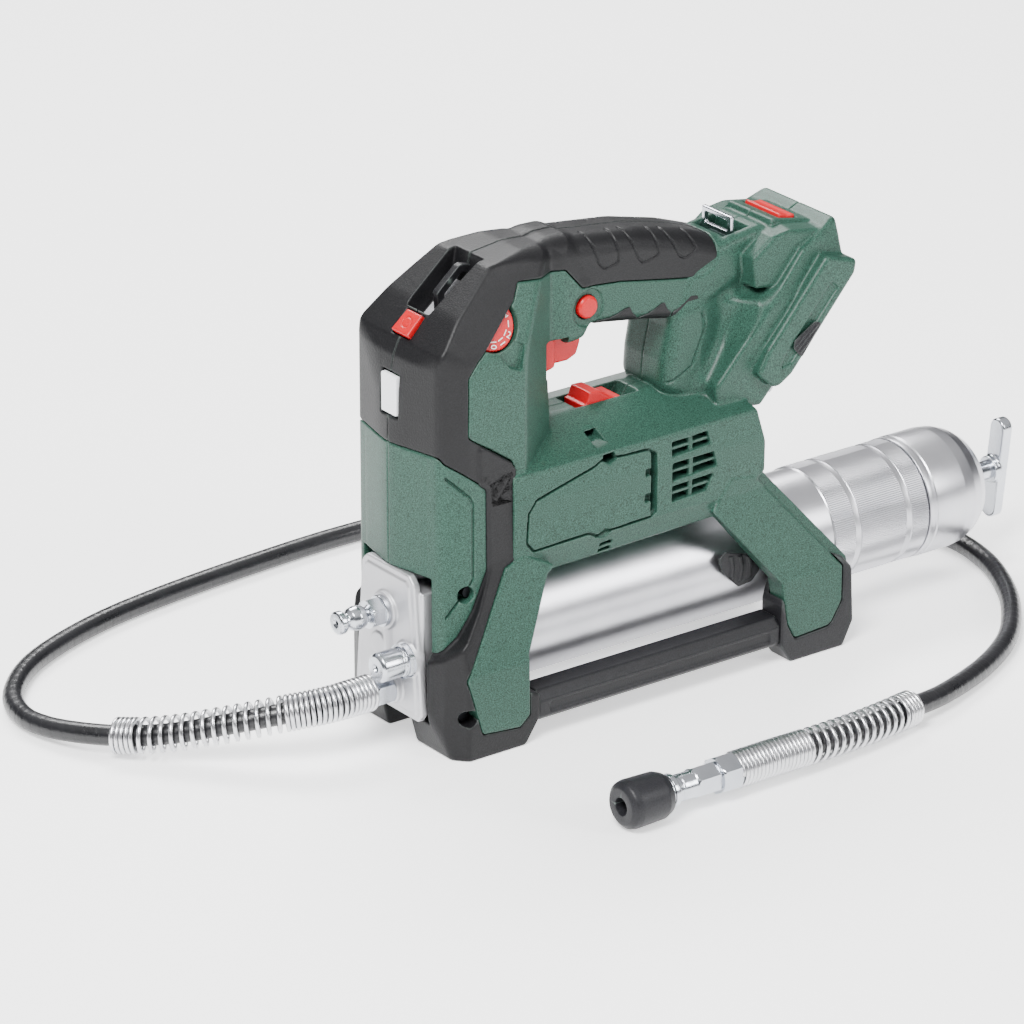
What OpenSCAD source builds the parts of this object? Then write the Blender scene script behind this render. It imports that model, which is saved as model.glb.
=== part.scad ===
// Cordless grease gun: a D-handled pump body that carries a screw-on cartridge
// barrel underneath, with a high pressure hose and coupler.
// X runs from the pump front plate to the rear, Y to the right-hand side and
// Z up. The feet stand on Z = 0 and the origin lies under the middle of the tool.

/* [Barrel] */
// Outer diameter of the barrel tube
barrel_d = 58; // [54:0.5:60]
// Wall of the barrel tube
barrel_wall = 1.5; // [1:0.1:2.5]
// Height of the barrel axis above the floor
barrel_z = 44.5; // [42:0.5:50]
// End of the barrel tube behind the front plate
barrel_end = 300; // [270:1:340]
// Diameter over the knurled grip of the barrel
knurl_d = 59.6; // [58:0.2:61]
// Length of the knurled grip
knurl_l = 59; // [40:1:80]
// Length of the domed end cap
dome_l = 49; // [40:1:60]
// Diameter of the domed end cap
dome_d = 60.6; // [58:0.2:61]

/* [Follower] */
// Diameter of the pull rod
rod_d = 9.5; // [8:0.5:10]
// Travel of the pull rod
rod_travel = 205; // [150:1:210]
// Length of the T-handle
tbar_l = 54; // [40:1:56]
// Width of the T-handle
tbar_w = 10.5; // [10:0.5:14]
// Thickness of the T-handle
tbar_t = 6; // [4:0.5:8]
// Distance from the end cap to the middle of the T-handle
tbar_gap = 18.5; // [14:0.5:30]

/* [Housing] */
// Half width of the housing column
col_hw = 36; // [34:0.5:38]
// Half width of the motor housing
body_hw = 38; // [36:0.5:40]
// Half width over the legs
leg_hw = 45; // [44:0.5:50]
// Thickness of a leg
leg_t = 12; // [8:0.5:13]
// Height of the motor housing ridge
ridge_z = 130; // [128:0.5:134]
// Height of the flat strip on top of the motor housing
spine_z = 143; // [142:0.5:146]
// Wall of the housing
wall = 3; // [2.5:0.1:4]
// Thickness of the soft black covers
cover_t = 3; // [2:0.1:4]
// Half width of the handle
grip_hw = 17; // [15:0.5:19]

/* [Drive] */
// Height of the motor axis
motor_z = 109; // [107:0.5:110]
// Radius of the motor can
motor_r = 22; // [18:0.5:22]
// Length of the motor can
motor_l = 62; // [50:1:66]
// Radius of the gearbox
gear_r = 24; // [20:0.5:24]
// Throw of the crank
crank_throw = 6; // [4:0.5:6]
// Diameter of the pump plunger
plunger_d = 9; // [6:0.5:10]

/* [Pump head] */
// Thickness of the front plate
plate_t = 4; // [3:0.5:5]
// Half width of the front plate at its foot
plate_hw_low = 26; // [22:0.5:27]
// Half width of the front plate at its top
plate_hw_top = 20.5; // [16:0.5:22]
// Height of the filler nipple
nipple_z = 65; // [62:0.5:66]
// Height of the hose outlet
outlet_z = 28.5; // [28:0.5:29]

/* [Fits] */
// Radial clearance of a running or screwed fit
fit = 0.06; // [0.03:0.01:0.1]
// Gap between parts that lie against each other
gap = 0.3; // [0.2:0.05:0.4]

/* [Hidden] */
$fn = 48;

// Colours of the finishes
green = "#5e7e72";
black = "#3c3c40";
red = "#dc3c40";
zinc = "#c4c7cc";
steel = "#b4b6ba";
cast = "#d8d8da";

// Derived sizes
barrel_r = barrel_d / 2;
barrel_ir = barrel_r - barrel_wall;
dome_end = barrel_end + dome_l;
tbar_x = dome_end + tbar_gap;
rear_x = tbar_x + tbar_t / 2;
nipple_reach = 29;
front_x = -nipple_reach;
mid_x = (front_x + rear_x) / 2;
sweep = 0.22;
plate_z0 = 16;
plate_z1 = 87;
pump_x = 17;
outlet_y = -5;
relief_y = -17;
relief_z = 46;
spigot_x0 = 34;
spigot_l = 20;
motor_x0 = 86;
motor_x1 = motor_x0 + motor_l;
fan_x = motor_x1 + 4;
fan_t = 8;
shaft_r = 2.5;
gear_x0 = 46;
gear_x1 = motor_x0 - 2;
crank_pin_r = 4;
rail_w = 14.5;
rail_z0 = 9.6;
rail_z1 = 24;
strip_hw = 6.4;

module placed() translate([-mid_x, 0, 0]) children();
module right() mirror([0, 1, 0]) children();
// Extrudes an XZ outline from y0 to y1
module slab(outline, y0, y1)
    translate([0, y1, 0]) rotate([90, 0, 0]) linear_extrude(y1 - y0) polygon(outline);
// Extrudes a YZ outline from x0 to x1
module rib(outline, x0, x1)
    translate([x0, 0, 0]) rotate([90, 0, 90]) linear_extrude(x1 - x0) polygon(outline);
module rod_x(r, x0, x1, y = 0, z = 0, n = $fn)
    translate([x0, y, z]) rotate([0, 90, 0]) cylinder(r = r, h = x1 - x0, $fn = n);
module rod_y(r, y0, y1, x = 0, z = 0, n = $fn)
    translate([x, y1, z]) rotate([90, 0, 0]) cylinder(r = r, h = y1 - y0, $fn = n);
module block(x, y, z) translate([x[0], y[0], z[0]]) cube([x[1] - x[0], y[1] - y[0], z[1] - z[0]]);

// ---- Outlines of the housing --------------------------------------------------
// Side outline of the column, from the front plate up over the top
column_side = [
    [0, 80], [0, 143], [1.2, 171], [4.2, 189], [7.6, 196], [20.4, 210], [43.3, 228],
    [50, 230.5], [64, 230.6], [92, 229.6], [100, 205], [84, 172], [80, 143], [80, 80]
];
// Side outline of the handle
handle_side = [
    [80, 229.9], [92, 229.6], [132, 224.5], [160, 217.5], [184, 209.5], [192, 205], [190, 190],
    [170, 187], [153, 184], [132, 187.5], [108, 187], [84, 180]
];
// Side outline of the neck between the handle, the battery mount and the body
neck_side = [
    [155, 184], [176, 199], [183, 209.9], [203, 203], [225, 197], [188, 148],
    [176, 130], [160, 138], [147, 143], [151, 158]
];
// Side outline of the head of the battery mount
head_side = [[184, 198], [184, 207], [202, 213], [212, 214.5], [240.5, 209], [243, 204], [242, 198], [236, 194], [215, 185]];
// Side outline of the flanges that hold the battery rails
flange_side = [
    [225, 197], [239, 193.6], [239.5, 181], [232, 172.5], [205, 142], [197.5, 138],
    [191.5, 139.5], [185.5, 147.5]
];
// Side outline of the motor housing
body_side = [
    [48, 84], [66, 78], [163, 81], [178, 90], [190, 99], [189, 114], [184, 133],
    [172, 143], [50, 143]
];
// Cross section of the motor housing
body_section = [
    [0, spine_z], [-strip_hw, spine_z], [-body_hw, ridge_z], [-body_hw - 1, 118],
    [-body_hw, 88], [-body_hw + 5, 78], [0, 78]
];
// Side outline of a rear leg
rear_leg_side = [
    [159, 86], [196, 41], [199, 22], [204.5, 12], [226, 13], [232.5, 24], [233, 42],
    [190, 96], [176, 92]
];
// Side outline of a front leg
front_leg_side = [
    [51, 92], [67, 82], [62, 80], [48, 45], [48, 15], [43, 10], [21, 12], [13, 40], [39, 86]
];
// Root of a front leg, where it joins the motor housing
front_leg_root = [[50.3, 94], [70, 94], [67, 82], [62, 80], [59, 72], [50.3, 72]];
leg_skin = 5;
leg_root_y = -body_hw + 5;
// Plan of the column
function column_plan(hw, inset) = [
    [inset, 0], [7 + inset, -hw + 4 + inset], [21, -hw + inset], [52, -hw + inset],
    [80 - inset, -grip_hw + inset], [100, -grip_hw + inset], [100, 0]
];
// Front view of the column: upright sides that lean in over the top
column_front = [
    [0, 70], [-col_hw - 2, 70], [-col_hw - 2, 150], [-col_hw, 186], [-24, 219], [-grip_hw, 240], [0, 240]
];
// Edge of the black cover on the column and the handle
cover_region = [
    [-10, 143], [24, 143], [23, 184], [29, 191], [55, 219], [88, 217.5], [98, 205.5],
    [120, 203.5], [166, 195], [176, 199], [183, 209.9], [160, 240], [-10, 240]
];

module column_outer() intersection() {
    slab(column_side, -60, 0);
    linear_extrude(250) polygon(column_plan(col_hw, 0));
    rib(column_front, -10, 110);
}
module column_core() intersection() {
    translate([cover_t, 0, -cover_t]) slab(column_side, -60, 0);
    linear_extrude(250) polygon(column_plan(col_hw, cover_t));
    translate([0, cover_t, 0]) rib(column_front, -10, 110);
    block([-10, 94], [-60, 0], [80, 240]);
}
module handle_outer() {
    slab(handle_side, -grip_hw + 4, 0);
    intersection() {
        slab(handle_side, -grip_hw, 0);
        translate([0, 0, -3]) slab(handle_side, -grip_hw, 0);
        translate([0, 0, 3]) slab(handle_side, -grip_hw, 0);
    }
}
module handle_core() intersection() {
    slab(handle_side, -grip_hw + cover_t, 0);
    translate([0, 0, -cover_t]) slab(handle_side, -grip_hw + cover_t, 0);
}
module body_outer() intersection() {
    slab(body_side, -60, 0);
    rib(body_section, 40, 195);
}
module mount_outer() {
    slab(neck_side, -grip_hw - 6, 0);
    slab(head_side, -26, 0);
    slab(flange_side, -36.5, 0);
}
// Green lower front, between the front plate and the black cover
module panel_outer() intersection() {
    block([0, 60], [-60, 0], [30, 143]);
    linear_extrude(250) polygon(column_plan(col_hw, 0));
    slab([[0, 87], [0, 143], [29, 143], [33, 128], [33, 92], [4, 39], [4, 87]], -60, 0);
}
bumper_side = [
    [29, 143], [33, 128], [33, 92], [3, 38], [3, 30], [8, 0], [46, 0], [54, 12], [54, 24],
    [48, 26], [48, 44], [50, 72], [50, 128], [40, 143]
];
module bumper_outer() intersection() {
    union() {
        slab(bumper_side, -leg_hw, -leg_hw + leg_t);
        block([8, 50], [-leg_hw + 1, -12], [0, plate_z0]);
    }
    union() {
        rib([[-leg_hw, 0], [-leg_hw, 42], [-col_hw - 1, 90], [-col_hw - 1, 150], [-28, 150], [-28, 30], [-12, 20], [-12, 0]], 0, 60);
    }
    linear_extrude(150) polygon([[8.5, -12], [12, -leg_hw + 1], [20, -leg_hw], [60, -leg_hw], [60, -12]]);
}

module pockets() {
    // motor, gearbox and crank
    rod_x(gear_r + gap, gear_x0, gear_x1, z = motor_z);
    rod_x(motor_r + gap, gear_x1 - 1, motor_x1, z = motor_z);
    rod_x(motor_r + gap + 2, motor_x1 - 1, 176, z = motor_z);
    block([cover_t + wall, gear_x0 + 1], [-24, 1], [plate_z1 - 20, 150]);
    // pump head
    block([-1, 35], [-26, 1], [10, plate_z1 + gap]);
    // controls in the column and the switch in the handle
    block([14, 54], [-26, 1], [149, 196]);
    block([53, 74], [-12, 1], [149, 196]);
    block([73, 92], [-12, 1], [186, 212]);
    block([91, 150], [-grip_hw + cover_t + wall, 1], [193, 210]);
}
module barrel_space() rod_x(barrel_r + 1.5, 34.5, 260, z = barrel_z, n = 64);

module controls_left() {
    // dose wheel slot, open behind the edge of the black cover
    wheel_place() {
        rod_y(wheel_r + gap, -gap, wheel_t + gap);
        intersection() {
            rod_y(wheel_r + gap, -20, 0);
            slab([[-10.8, -18.5], [9.7, 17], [30, 17], [30, -18.5]], -21, 1);
        }
    }
}
// Dose wheel frame: origin at the middle of the outer face, Y along the axis into the housing
module wheel_place() translate([wheel_x, wheel_y, wheel_z]) rotate([-21, 0, 0]) children();
module trigger_slot() {
    block([72, 104.5], [-11, 11], [163, 190]);
    block([70, 90], [-13.6, 13.6], [162, 190]);
    rod_y(trigger_pin_r + fit, -15, 15, x = trigger_x, z = trigger_z);
}
trigger_x = 80;
trigger_z = 185;
trigger_pin_r = 2;
wheel_r = 12.4;
wheel_t = 6;
wheel_x = 39;
wheel_y = -27.8;
wheel_z = 203.8;
lock_x = 101;
lock_z = 195;
lock_r = 5.5;

module shell_cuts() {
    pockets();
    barrel_space();
    trigger_slot();
    rod_y(lock_r + fit, -60, 60, x = lock_x, z = lock_z);
    // recess for the gear selector
    block([105.5, 137], [-8, 8], [spine_z - 6 - gap, spine_z + 1]);
    // recess for the release button and its spring
    release_place() block([-5.5, 5.5], [-13.5, 13.5], [-9, 3]);
    // battery slot between the rails, and the terminal block
    mount_place() block([-8, 12], [-27, 27], [8, 70]);
    // air vents
    for (row = [0 : 2], col = [0 : 1])
        block([137 + col * 12, 146 + col * 12], [-60, -20], [98.5 + row * 10, 103 + row * 10]);
    // rear strap eye
    rod_y(1.5, -13, 13, x = strap_x, z = strap_z);
    block([strap_x - 3, strap_x + 4], [-11.5, 11.5], [strap_z - 2, strap_z + 8]);
}
// Battery mount frame: origin at the top of the face, Z down along the rails
module mount_place() translate([239.5, 0, 181]) rotate([0, 180 + 41, 0]) children();
module lamp_button_place() translate([12.6, 0, 202]) rotate([0, -42, 0]) children();
module lamp_button_pocket() lamp_button_place() block([-6.3, 6.3], [-6.7, 6.7], [-6, 5]);
module release_place() translate([222, 0, 211.5]) rotate([0, 13, 0]) children();
strap_x = 190;
strap_z = 207.5;

module half_shell() difference() {
    union() {
        difference() {
            union() {
                column_outer();
                handle_outer();
            }
            slab(cover_region, -60, 1);
            slab(bumper_side, -60, 1);
        }
        column_core();
        handle_core();
        body_outer();
        mount_outer();
        panel_outer();
        slab(rear_leg_side, -leg_hw, -leg_hw + leg_t);
        intersection() {
            slab(rear_leg_side, -leg_hw, leg_root_y);
            block([150, 200], [-60, 0], [80, 100]);
        }
        slab(front_leg_side, -leg_hw, -leg_hw + leg_skin);
        slab(front_leg_root, -leg_hw, leg_root_y);
    }
    shell_cuts();
    eyelet_recess();
    lamp_recess();
    lamp_button_pocket();
    screw_holes();
}
// Soft black parts wrap round the shell, so the shell gives way to them
module shell() union() {
    difference() {
        half_shell();
        bumper_outer();
    }
    intersection() {
        half_shell();
        slab(front_leg_side, -leg_hw, -leg_hw + leg_skin);
    }
}
module eyelet_recess() slab([[20, 222], [17, 203], [23, 196], [44, 214], [50, 236], [30, 240]], -10, 1);
module lamp_recess() block([-2, 12], [-6.5, 6.5], [160, 181]);
module screw_holes() {
    rod_y(3.2, -60, -28, x = 22, z = 79);
}

module housing_left() color(green) placed() difference() {
    shell();
    controls_left();
}
module housing_right() color(green) placed() right() shell();

module grip_cover() difference() {
    intersection() {
        union() {
            column_outer();
            handle_outer();
        }
        slab(cover_region, -60, 0);
    }
    column_core();
    handle_core();
    neck_clear();
    eyelet_recess();
    lamp_recess();
    lamp_button_pocket();
    rod_y(lock_r + fit, -60, 60, x = lock_x, z = lock_z);
}
module neck_clear() slab(neck_side, -60, 1);
module grip_cover_left() color(black) placed() difference() {
    grip_cover();
    controls_left();
}
module grip_cover_right() color(black) placed() right() grip_cover();

module bumper() difference() {
    bumper_outer();
    block([-1, 35], [-26, 1], [plate_z0 - gap, plate_z1]);
    rod_y(3.2, -60, -28, x = 15, z = 21);
    rod_x(barrel_r + 1.5, 34.5, 260, z = barrel_z, n = 64);
    slab(front_leg_side, -leg_hw - 1, -leg_hw + leg_skin);
}
module bumper_left() color(black) placed() bumper();
module bumper_right() color(black) placed() right() bumper();

module skid_rail() block([54, 196], [-leg_hw + 1, -leg_hw + 1 + rail_w], [rail_z0, rail_z1]);
module skid_rail_left() color(black) placed() skid_rail();
module skid_rail_right() color(black) placed() right() skid_rail();

rear_foot_side = [[196, 9], [202, 0], [234, 0], [240, 12], [238.5, 44], [233, 47], [226, 50], [200, 44], [196, 30]];
module rear_foot() difference() {
    slab(rear_foot_side, -leg_hw, -leg_hw + rail_w + 1);
    slab(rear_leg_side, -leg_hw - 1, -leg_hw + leg_t);
    rod_x(max(barrel_r, knurl_d / 2) + 0.5, 190, 245, z = barrel_z, n = 64);
}
module rear_foot_left() color(black) placed() rear_foot();
module rear_foot_right() color(black) placed() right() rear_foot();

// Three soft waves under each side of the handle
module finger_inserts() color(black) placed() for (side = [0, 1]) mirror([0, side, 0])
    for (i = [0 : 2]) translate([117 + i * 14, -grip_hw, 189.5])
        rotate([90, 0, 0]) linear_extrude(1) polygon([[-6, -1], [0, 5], [6, 6.5], [7, 3], [8, 0], [4, -2]]);

// ---- Pump head -----------------------------------------------------------------
plate_outline = [
    [plate_hw_low - 3, plate_z0], [plate_hw_low, plate_z0 + 4], [plate_hw_top, plate_z1 - 4],
    [plate_hw_top - 4, plate_z1], [-plate_hw_top + 4, plate_z1], [-plate_hw_top, plate_z1 - 4],
    [-plate_hw_low, plate_z0 + 4], [-plate_hw_low + 3, plate_z0]
];
module pump_head() color(cast) placed() difference() {
    union() {
        rib(plate_outline, 0, plate_t);
        block([plate_t, spigot_x0], [-23, 23], [plate_z0 + 2, plate_z1 - 8]);
        rod_x(9, -3, plate_t, z = nipple_z);
        rod_x(8, -4, plate_t, y = outlet_y, z = outlet_z);
        rod_x(8.5, -2, plate_t, y = relief_y + 1, z = relief_z);
        rod_x(barrel_ir - fit, spigot_x0, spigot_x0 + spigot_l, z = barrel_z, n = 64);
        translate([pump_x, 0, plate_z1 - 8]) cylinder(r = 9, h = 6);
    }
    // plunger bore, check valve chamber and the ways in and out
    translate([pump_x, 0, 34]) cylinder(r = plunger_d / 2 + fit, h = 60);
    translate([pump_x, 0, 10]) cylinder(r = valve_r + fit, h = 24.2);
    rod_x(4, pump_x, spigot_x0 + spigot_l + 1, z = barrel_z);
    rod_x(2.5, -5, pump_x, y = outlet_y, z = outlet_z);
    rod_x(5 + fit, -5, 6, y = outlet_y, z = outlet_z);
    rod_x(nipple_r + fit, -4, 8, z = nipple_z);
    rod_x(2, 7, spigot_x0 + spigot_l + 1, z = nipple_z);
    rod_x(relief_r + fit, -3, 8, y = relief_y, z = relief_z);
    rod_x(2, 7, 20, y = relief_y, z = relief_z);
    rod_y(2, relief_y, 0, x = 19, z = relief_z);
    plate_screw_holes();
}
nipple_r = 5;
nipple_head_r = 5.5;
relief_r = 6;
valve_r = 6;
screw_z = plate_z1 - 13;
module plate_screw_holes() for (y = [-18, 18])
    rod_x(2.5 + fit, 12, spigot_x0 + 1, y = y, z = screw_z);
module plate_screws() color(zinc) placed() for (y = [-18, 18]) {
    rod_x(2.5, 13, spigot_x0 + 3, y = y, z = screw_z);
    rod_x(4.2, spigot_x0 + 0.1, spigot_x0 + 4, y = y, z = screw_z);
}
module filler_nipple() color(zinc) placed() difference() {
    union() {
        rod_x(nipple_r, -4, 7, z = nipple_z);
        rod_x(7.5, -5, -3, z = nipple_z);
        rod_x(7.2, -12, -5, z = nipple_z, n = 6);
        rod_x(3.4, -25, -11, z = nipple_z);
        translate([-18, 0, nipple_z]) sphere(r = 6);
        rod_x(nipple_head_r, -nipple_reach, -25, z = nipple_z);
    }
    rod_x(1.5, -nipple_reach + 2, 8, z = nipple_z);
}
module relief_valve() color(zinc) placed() difference() {
    union() {
        rod_x(relief_r, -3, 7, y = relief_y, z = relief_z);
        rod_x(8.6, -5, -2, y = relief_y, z = relief_z, n = 6);
        rod_x(7, -19, -5, y = relief_y, z = relief_z);
    }
    rod_x(1.5, -20, 8, y = relief_y, z = relief_z);
}
module valve_plug() color(zinc) placed() {
    translate([pump_x, 0, plate_z0 - 2]) cylinder(r = valve_r, h = 8);
    translate([pump_x, 0, plate_z0 - 3.5]) cylinder(r = 7.5, h = 4.5, $fn = 6);
}
ball_z = 34 - 3.2;
module check_ball() color(steel) placed() translate([pump_x, 0, ball_z]) sphere(r = 3.4);
module check_spring() color(steel) placed() translate([pump_x, 0, plate_z0 + 6.05])
    rotate_extrude() translate([2.2, 0]) square([1, ball_z - 3.4 - plate_z0 - 5.3]);

// ---- Fasteners -----------------------------------------------------------------
module housing_screws() color(black) placed() for (side = [0, 1]) mirror([0, side, 0]) {
    rod_y(2.9, -col_hw + 4, -col_hw + 7.5, x = 22, z = 79);
    rod_y(2.9, -leg_hw + 7, -leg_hw + 12, x = 15, z = 21);
}

// ---- Lamp ------------------------------------------------------------------------
module lamp_lens() color("#f2f4f6") placed() block([1.2, 4.2], [-5.8, 5.8], [161, 180]);
module lamp_board() color("#2f6a3c") placed() {
    block([9, 11], [-6.3, 6.3], [160.2, 180.8]);
    block([6, 9], [-2, 2], [168, 172]);
}

// ---- Strap eyes --------------------------------------------------------------------
strap_bar_side = [
    [28.6, 201.2], [27.6, 213.6], [28.8, 214.8], [39.2, 223.9], [40.8, 224.4], [46.4, 223.4],
    [45.4, 219.6], [41, 220.4], [31.6, 212.2], [32.4, 204.2]
];
module strap_bar() color(black) placed() slab(strap_bar_side, -2, 2);
module rear_strap_eye() color(zinc) placed() difference() {
    union() {
        rod_y(1.5, -13, 13, x = strap_x, z = strap_z);
        block([strap_x - 1.2, strap_x + 1.2], [-11, 11], [strap_z, strap_z + 10]);
    }
    block([strap_x - 2, strap_x + 2], [-8.5, 8.5], [strap_z + 2, strap_z + 7.5]);
}

// ---- Battery mount -------------------------------------------------------------------
module battery_rails() color(steel) placed() for (side = [0, 1]) mirror([0, side, 0]) mount_place()
    block([-3, 2], [-26.9, -24.5], [10, 62]);
module terminal_block() color(black) placed() mount_place() {
    block([4, 11.9], [-18, 18], [10, 40]);
    for (y = [-12, -4, 4, 12]) block([-6, 4.1], [y - 0.6, y + 0.6], [14, 34]);
}

// ---- Motor and gearbox -----------------------------------------------------------------
module motor_can() color(steel) placed() difference() {
    rod_x(motor_r, motor_x0, motor_x1, z = motor_z);
    rod_x(motor_r - 4, motor_x0 + 2, motor_x1 - 2, z = motor_z);
    rod_x(6, motor_x0 - 1, motor_x1 + 1, z = motor_z);
}
module motor_bearings() color(zinc) placed() for (x = [motor_x0, motor_x1 - 5]) difference() {
    rod_x(6, x, x + 5, z = motor_z);
    rod_x(shaft_r + fit, x - 1, x + 6, z = motor_z);
}
module gearbox_case() color("#8a8d90") placed() difference() {
    rod_x(gear_r, gear_x0, gear_x1, z = motor_z);
    rod_x(ring_r, gear_x0 + 8, gear_x1 + 1, z = motor_z);
    rod_x(10, gear_x0 - 1, gear_x0 + 9, z = motor_z);
}
module output_bearing() color(zinc) placed() difference() {
    rod_x(10, gear_x0, gear_x0 + 7, z = motor_z);
    rod_x(6 + fit, gear_x0 - 1, gear_x0 + 8, z = motor_z);
}
module armature() color("#a8662e") placed() {
    rod_x(shaft_r, motor_x0 - 13, fan_x + fan_t + 4, z = motor_z);
    rod_x(motor_r - 5.5, motor_x0 + 10, motor_x1 - 16, z = motor_z);
    rod_x(8, motor_x1 - 15.9, motor_x1 - 7, z = motor_z);
}
module cooling_fan() color(black) placed() difference() {
    union() {
        rod_x(6, fan_x, fan_x + fan_t, z = motor_z);
        rod_x(motor_r, fan_x, fan_x + 1.5, z = motor_z);
        for (i = [0 : 8]) translate([fan_x + 1, 0, motor_z]) rotate([i * 40, 0, 0])
            translate([0, -0.7, 4]) cube([fan_t - 2, 1.4, motor_r - 6]);
    }
    rod_x(shaft_r, fan_x - 1, fan_x + fan_t + 1, z = motor_z);
}
pinion_r = 4.5;
planet_r = 5.2;
orbit_r = pinion_r + planet_r + 0.3;
ring_r = orbit_r + planet_r + 0.3;
module sun_pinion() color(steel) placed() difference() {
    rod_x(pinion_r, motor_x0 - 13, motor_x0 - 4, z = motor_z);
    rod_x(shaft_r, motor_x0 - 14, motor_x0, z = motor_z);
}
module planet_gears() color(steel) placed() for (i = [0 : 2]) translate([0, 0, motor_z]) rotate([i * 120, 0, 0])
    difference() {
        rod_x(planet_r, motor_x0 - 13, motor_x0 - 5, z = orbit_r);
        rod_x(2, motor_x0 - 14, motor_x0 - 4, z = orbit_r);
    }
module planet_carrier() color(steel) placed() {
    rod_x(15, gear_x0 + 16, motor_x0 - 13.5, z = motor_z);
    rod_x(6, crank_x1, gear_x0 + 16.1, z = motor_z);
    for (i = [0 : 2]) translate([0, 0, motor_z]) rotate([i * 120, 0, 0])
        rod_x(2, motor_x0 - 13.6, motor_x0 - 5, z = orbit_r);
}
crank_x0 = 26;
crank_x1 = 32;
module crank_disc() color(steel) placed() {
    rod_x(13, crank_x0, crank_x1, z = motor_z);
    rod_x(crank_pin_r, pump_x + plunger_d / 2 + 0.8, crank_x0 + 0.1, z = motor_z + crank_throw);
}
// Plunger with the slotted yoke that the crank pin drives
yoke_z = motor_z + crank_throw;
module plunger() color(zinc) placed() difference() {
    union() {
        translate([pump_x, 0, 52]) cylinder(r = plunger_d / 2, h = yoke_z - 60);
        block([pump_x - 4, pump_x + 4], [-13, 13], [yoke_z - 9, yoke_z + 9]);
    }
    block([pump_x - 6, pump_x + 6], [-11, 11], [yoke_z - crank_pin_r - fit, yoke_z + crank_pin_r + fit]);
}

// ---- Switch and electronics ----------------------------------------------------------------
module switch_body() color("#26262a") placed() block([110, 138], [-10, 10], [193, 207]);
module control_board() color("#2f6a3c") placed() block([18, 52], [-22, 22], [149 + gap, 151 + gap]);

// ---- Barrel ------------------------------------------------------------------------------------
knurl_x0 = barrel_end - knurl_l;
groove_d = 58.4;
module barrel_tube() color("silver") placed() difference() {
    union() {
        rod_x(barrel_r, spigot_x0 + gap, barrel_end - 0.5, z = barrel_z, n = 96);
        difference() {
            rod_x(knurl_d / 2, knurl_x0, barrel_end - 0.5, z = barrel_z, n = 96);
            for (x = [knurl_x0 + 13, barrel_end - 14.5]) difference() {
                rod_x(knurl_d, x, x + 3.5, z = barrel_z);
                rod_x(groove_d / 2, x - 1, x + 5, z = barrel_z, n = 96);
            }
        }
    }
    rod_x(barrel_ir, spigot_x0, barrel_end, z = barrel_z, n = 96);
}
dome_r = dome_d / 2;
module end_cap() color("silver") placed() difference() {
    translate([barrel_end, 0, barrel_z]) rotate([0, 90, 0]) rotate_extrude($fn = 96) polygon(concat(
        [[0, -16], [barrel_ir - fit, -16], [barrel_ir - fit, 0], [dome_r, 0]],
        [for (a = [0 : 7.5 : 90]) [8 + (dome_r - 8) * cos(a), dome_l - 26 + 24 * sin(a)]],
        [[8, dome_l], [0, dome_l]]));
    rod_x(barrel_ir - 3, barrel_end - 17, barrel_end + 20, z = barrel_z);
    rod_x(rod_d / 2 + fit, barrel_end, dome_end + 1, z = barrel_z);
    rod_x(8 + fit, barrel_end + 19, barrel_end + 24, z = barrel_z);
}
module rod_seal() color(black) placed() difference() {
    rod_x(8, barrel_end + 19.5, barrel_end + 24, z = barrel_z);
    rod_x(rod_d / 2 + fit, barrel_end + 19, barrel_end + 25, z = barrel_z);
}
piston_x = spigot_x0 + spigot_l + 2;
piston_t = 10;
module follower_rod() color(zinc) placed() rod_x(rod_d / 2, piston_x + 2, tbar_x - 2, z = barrel_z);
module t_handle() color(zinc) placed() translate([tbar_x, 0, barrel_z]) rotate([7, 0, 0]) difference() {
    union() {
        translate([-tbar_t / 2, -tbar_w / 2, -tbar_l / 2 + tbar_w / 2]) cube([tbar_t, tbar_w, tbar_l - tbar_w]);
        for (s = [-1, 1]) translate([0, 0, s * (tbar_l - tbar_w) / 2])
            rod_x(tbar_w / 2, -tbar_t / 2, tbar_t / 2);
        rod_x(rod_d / 2 + 2, -tbar_t / 2 - 3, -tbar_t / 2 + 1);
    }
    rod_x(rod_d / 2, -tbar_t, tbar_t / 2 - 1);
}
module follower_piston() color(black) placed() difference() {
    rod_x(barrel_ir - 0.35, piston_x, piston_x + piston_t, z = barrel_z);
    rod_x(barrel_ir - 5, piston_x + 4, piston_x + piston_t + 1, z = barrel_z);
    rod_x(rod_d / 2, piston_x + 2, piston_x + piston_t, z = barrel_z);
}
spring_r = barrel_ir - 9.5;
// Space of the follower spring
module follower_spring() color(steel) placed() difference() {
    rod_x(spring_r, piston_x + 4.1, barrel_end + 19, z = barrel_z);
    rod_x(spring_r - 2.5, piston_x + 4, barrel_end + 20, z = barrel_z);
}
// Ridged latch that locks the barrel against turning
module barrel_latch() color(black) placed() slab([[168, 57], [172, 60], [190, 54], [193, 46], [188, 41], [180, 40], [170, 50]], -leg_hw + leg_t + gap, -barrel_r - 1.6);

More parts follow.
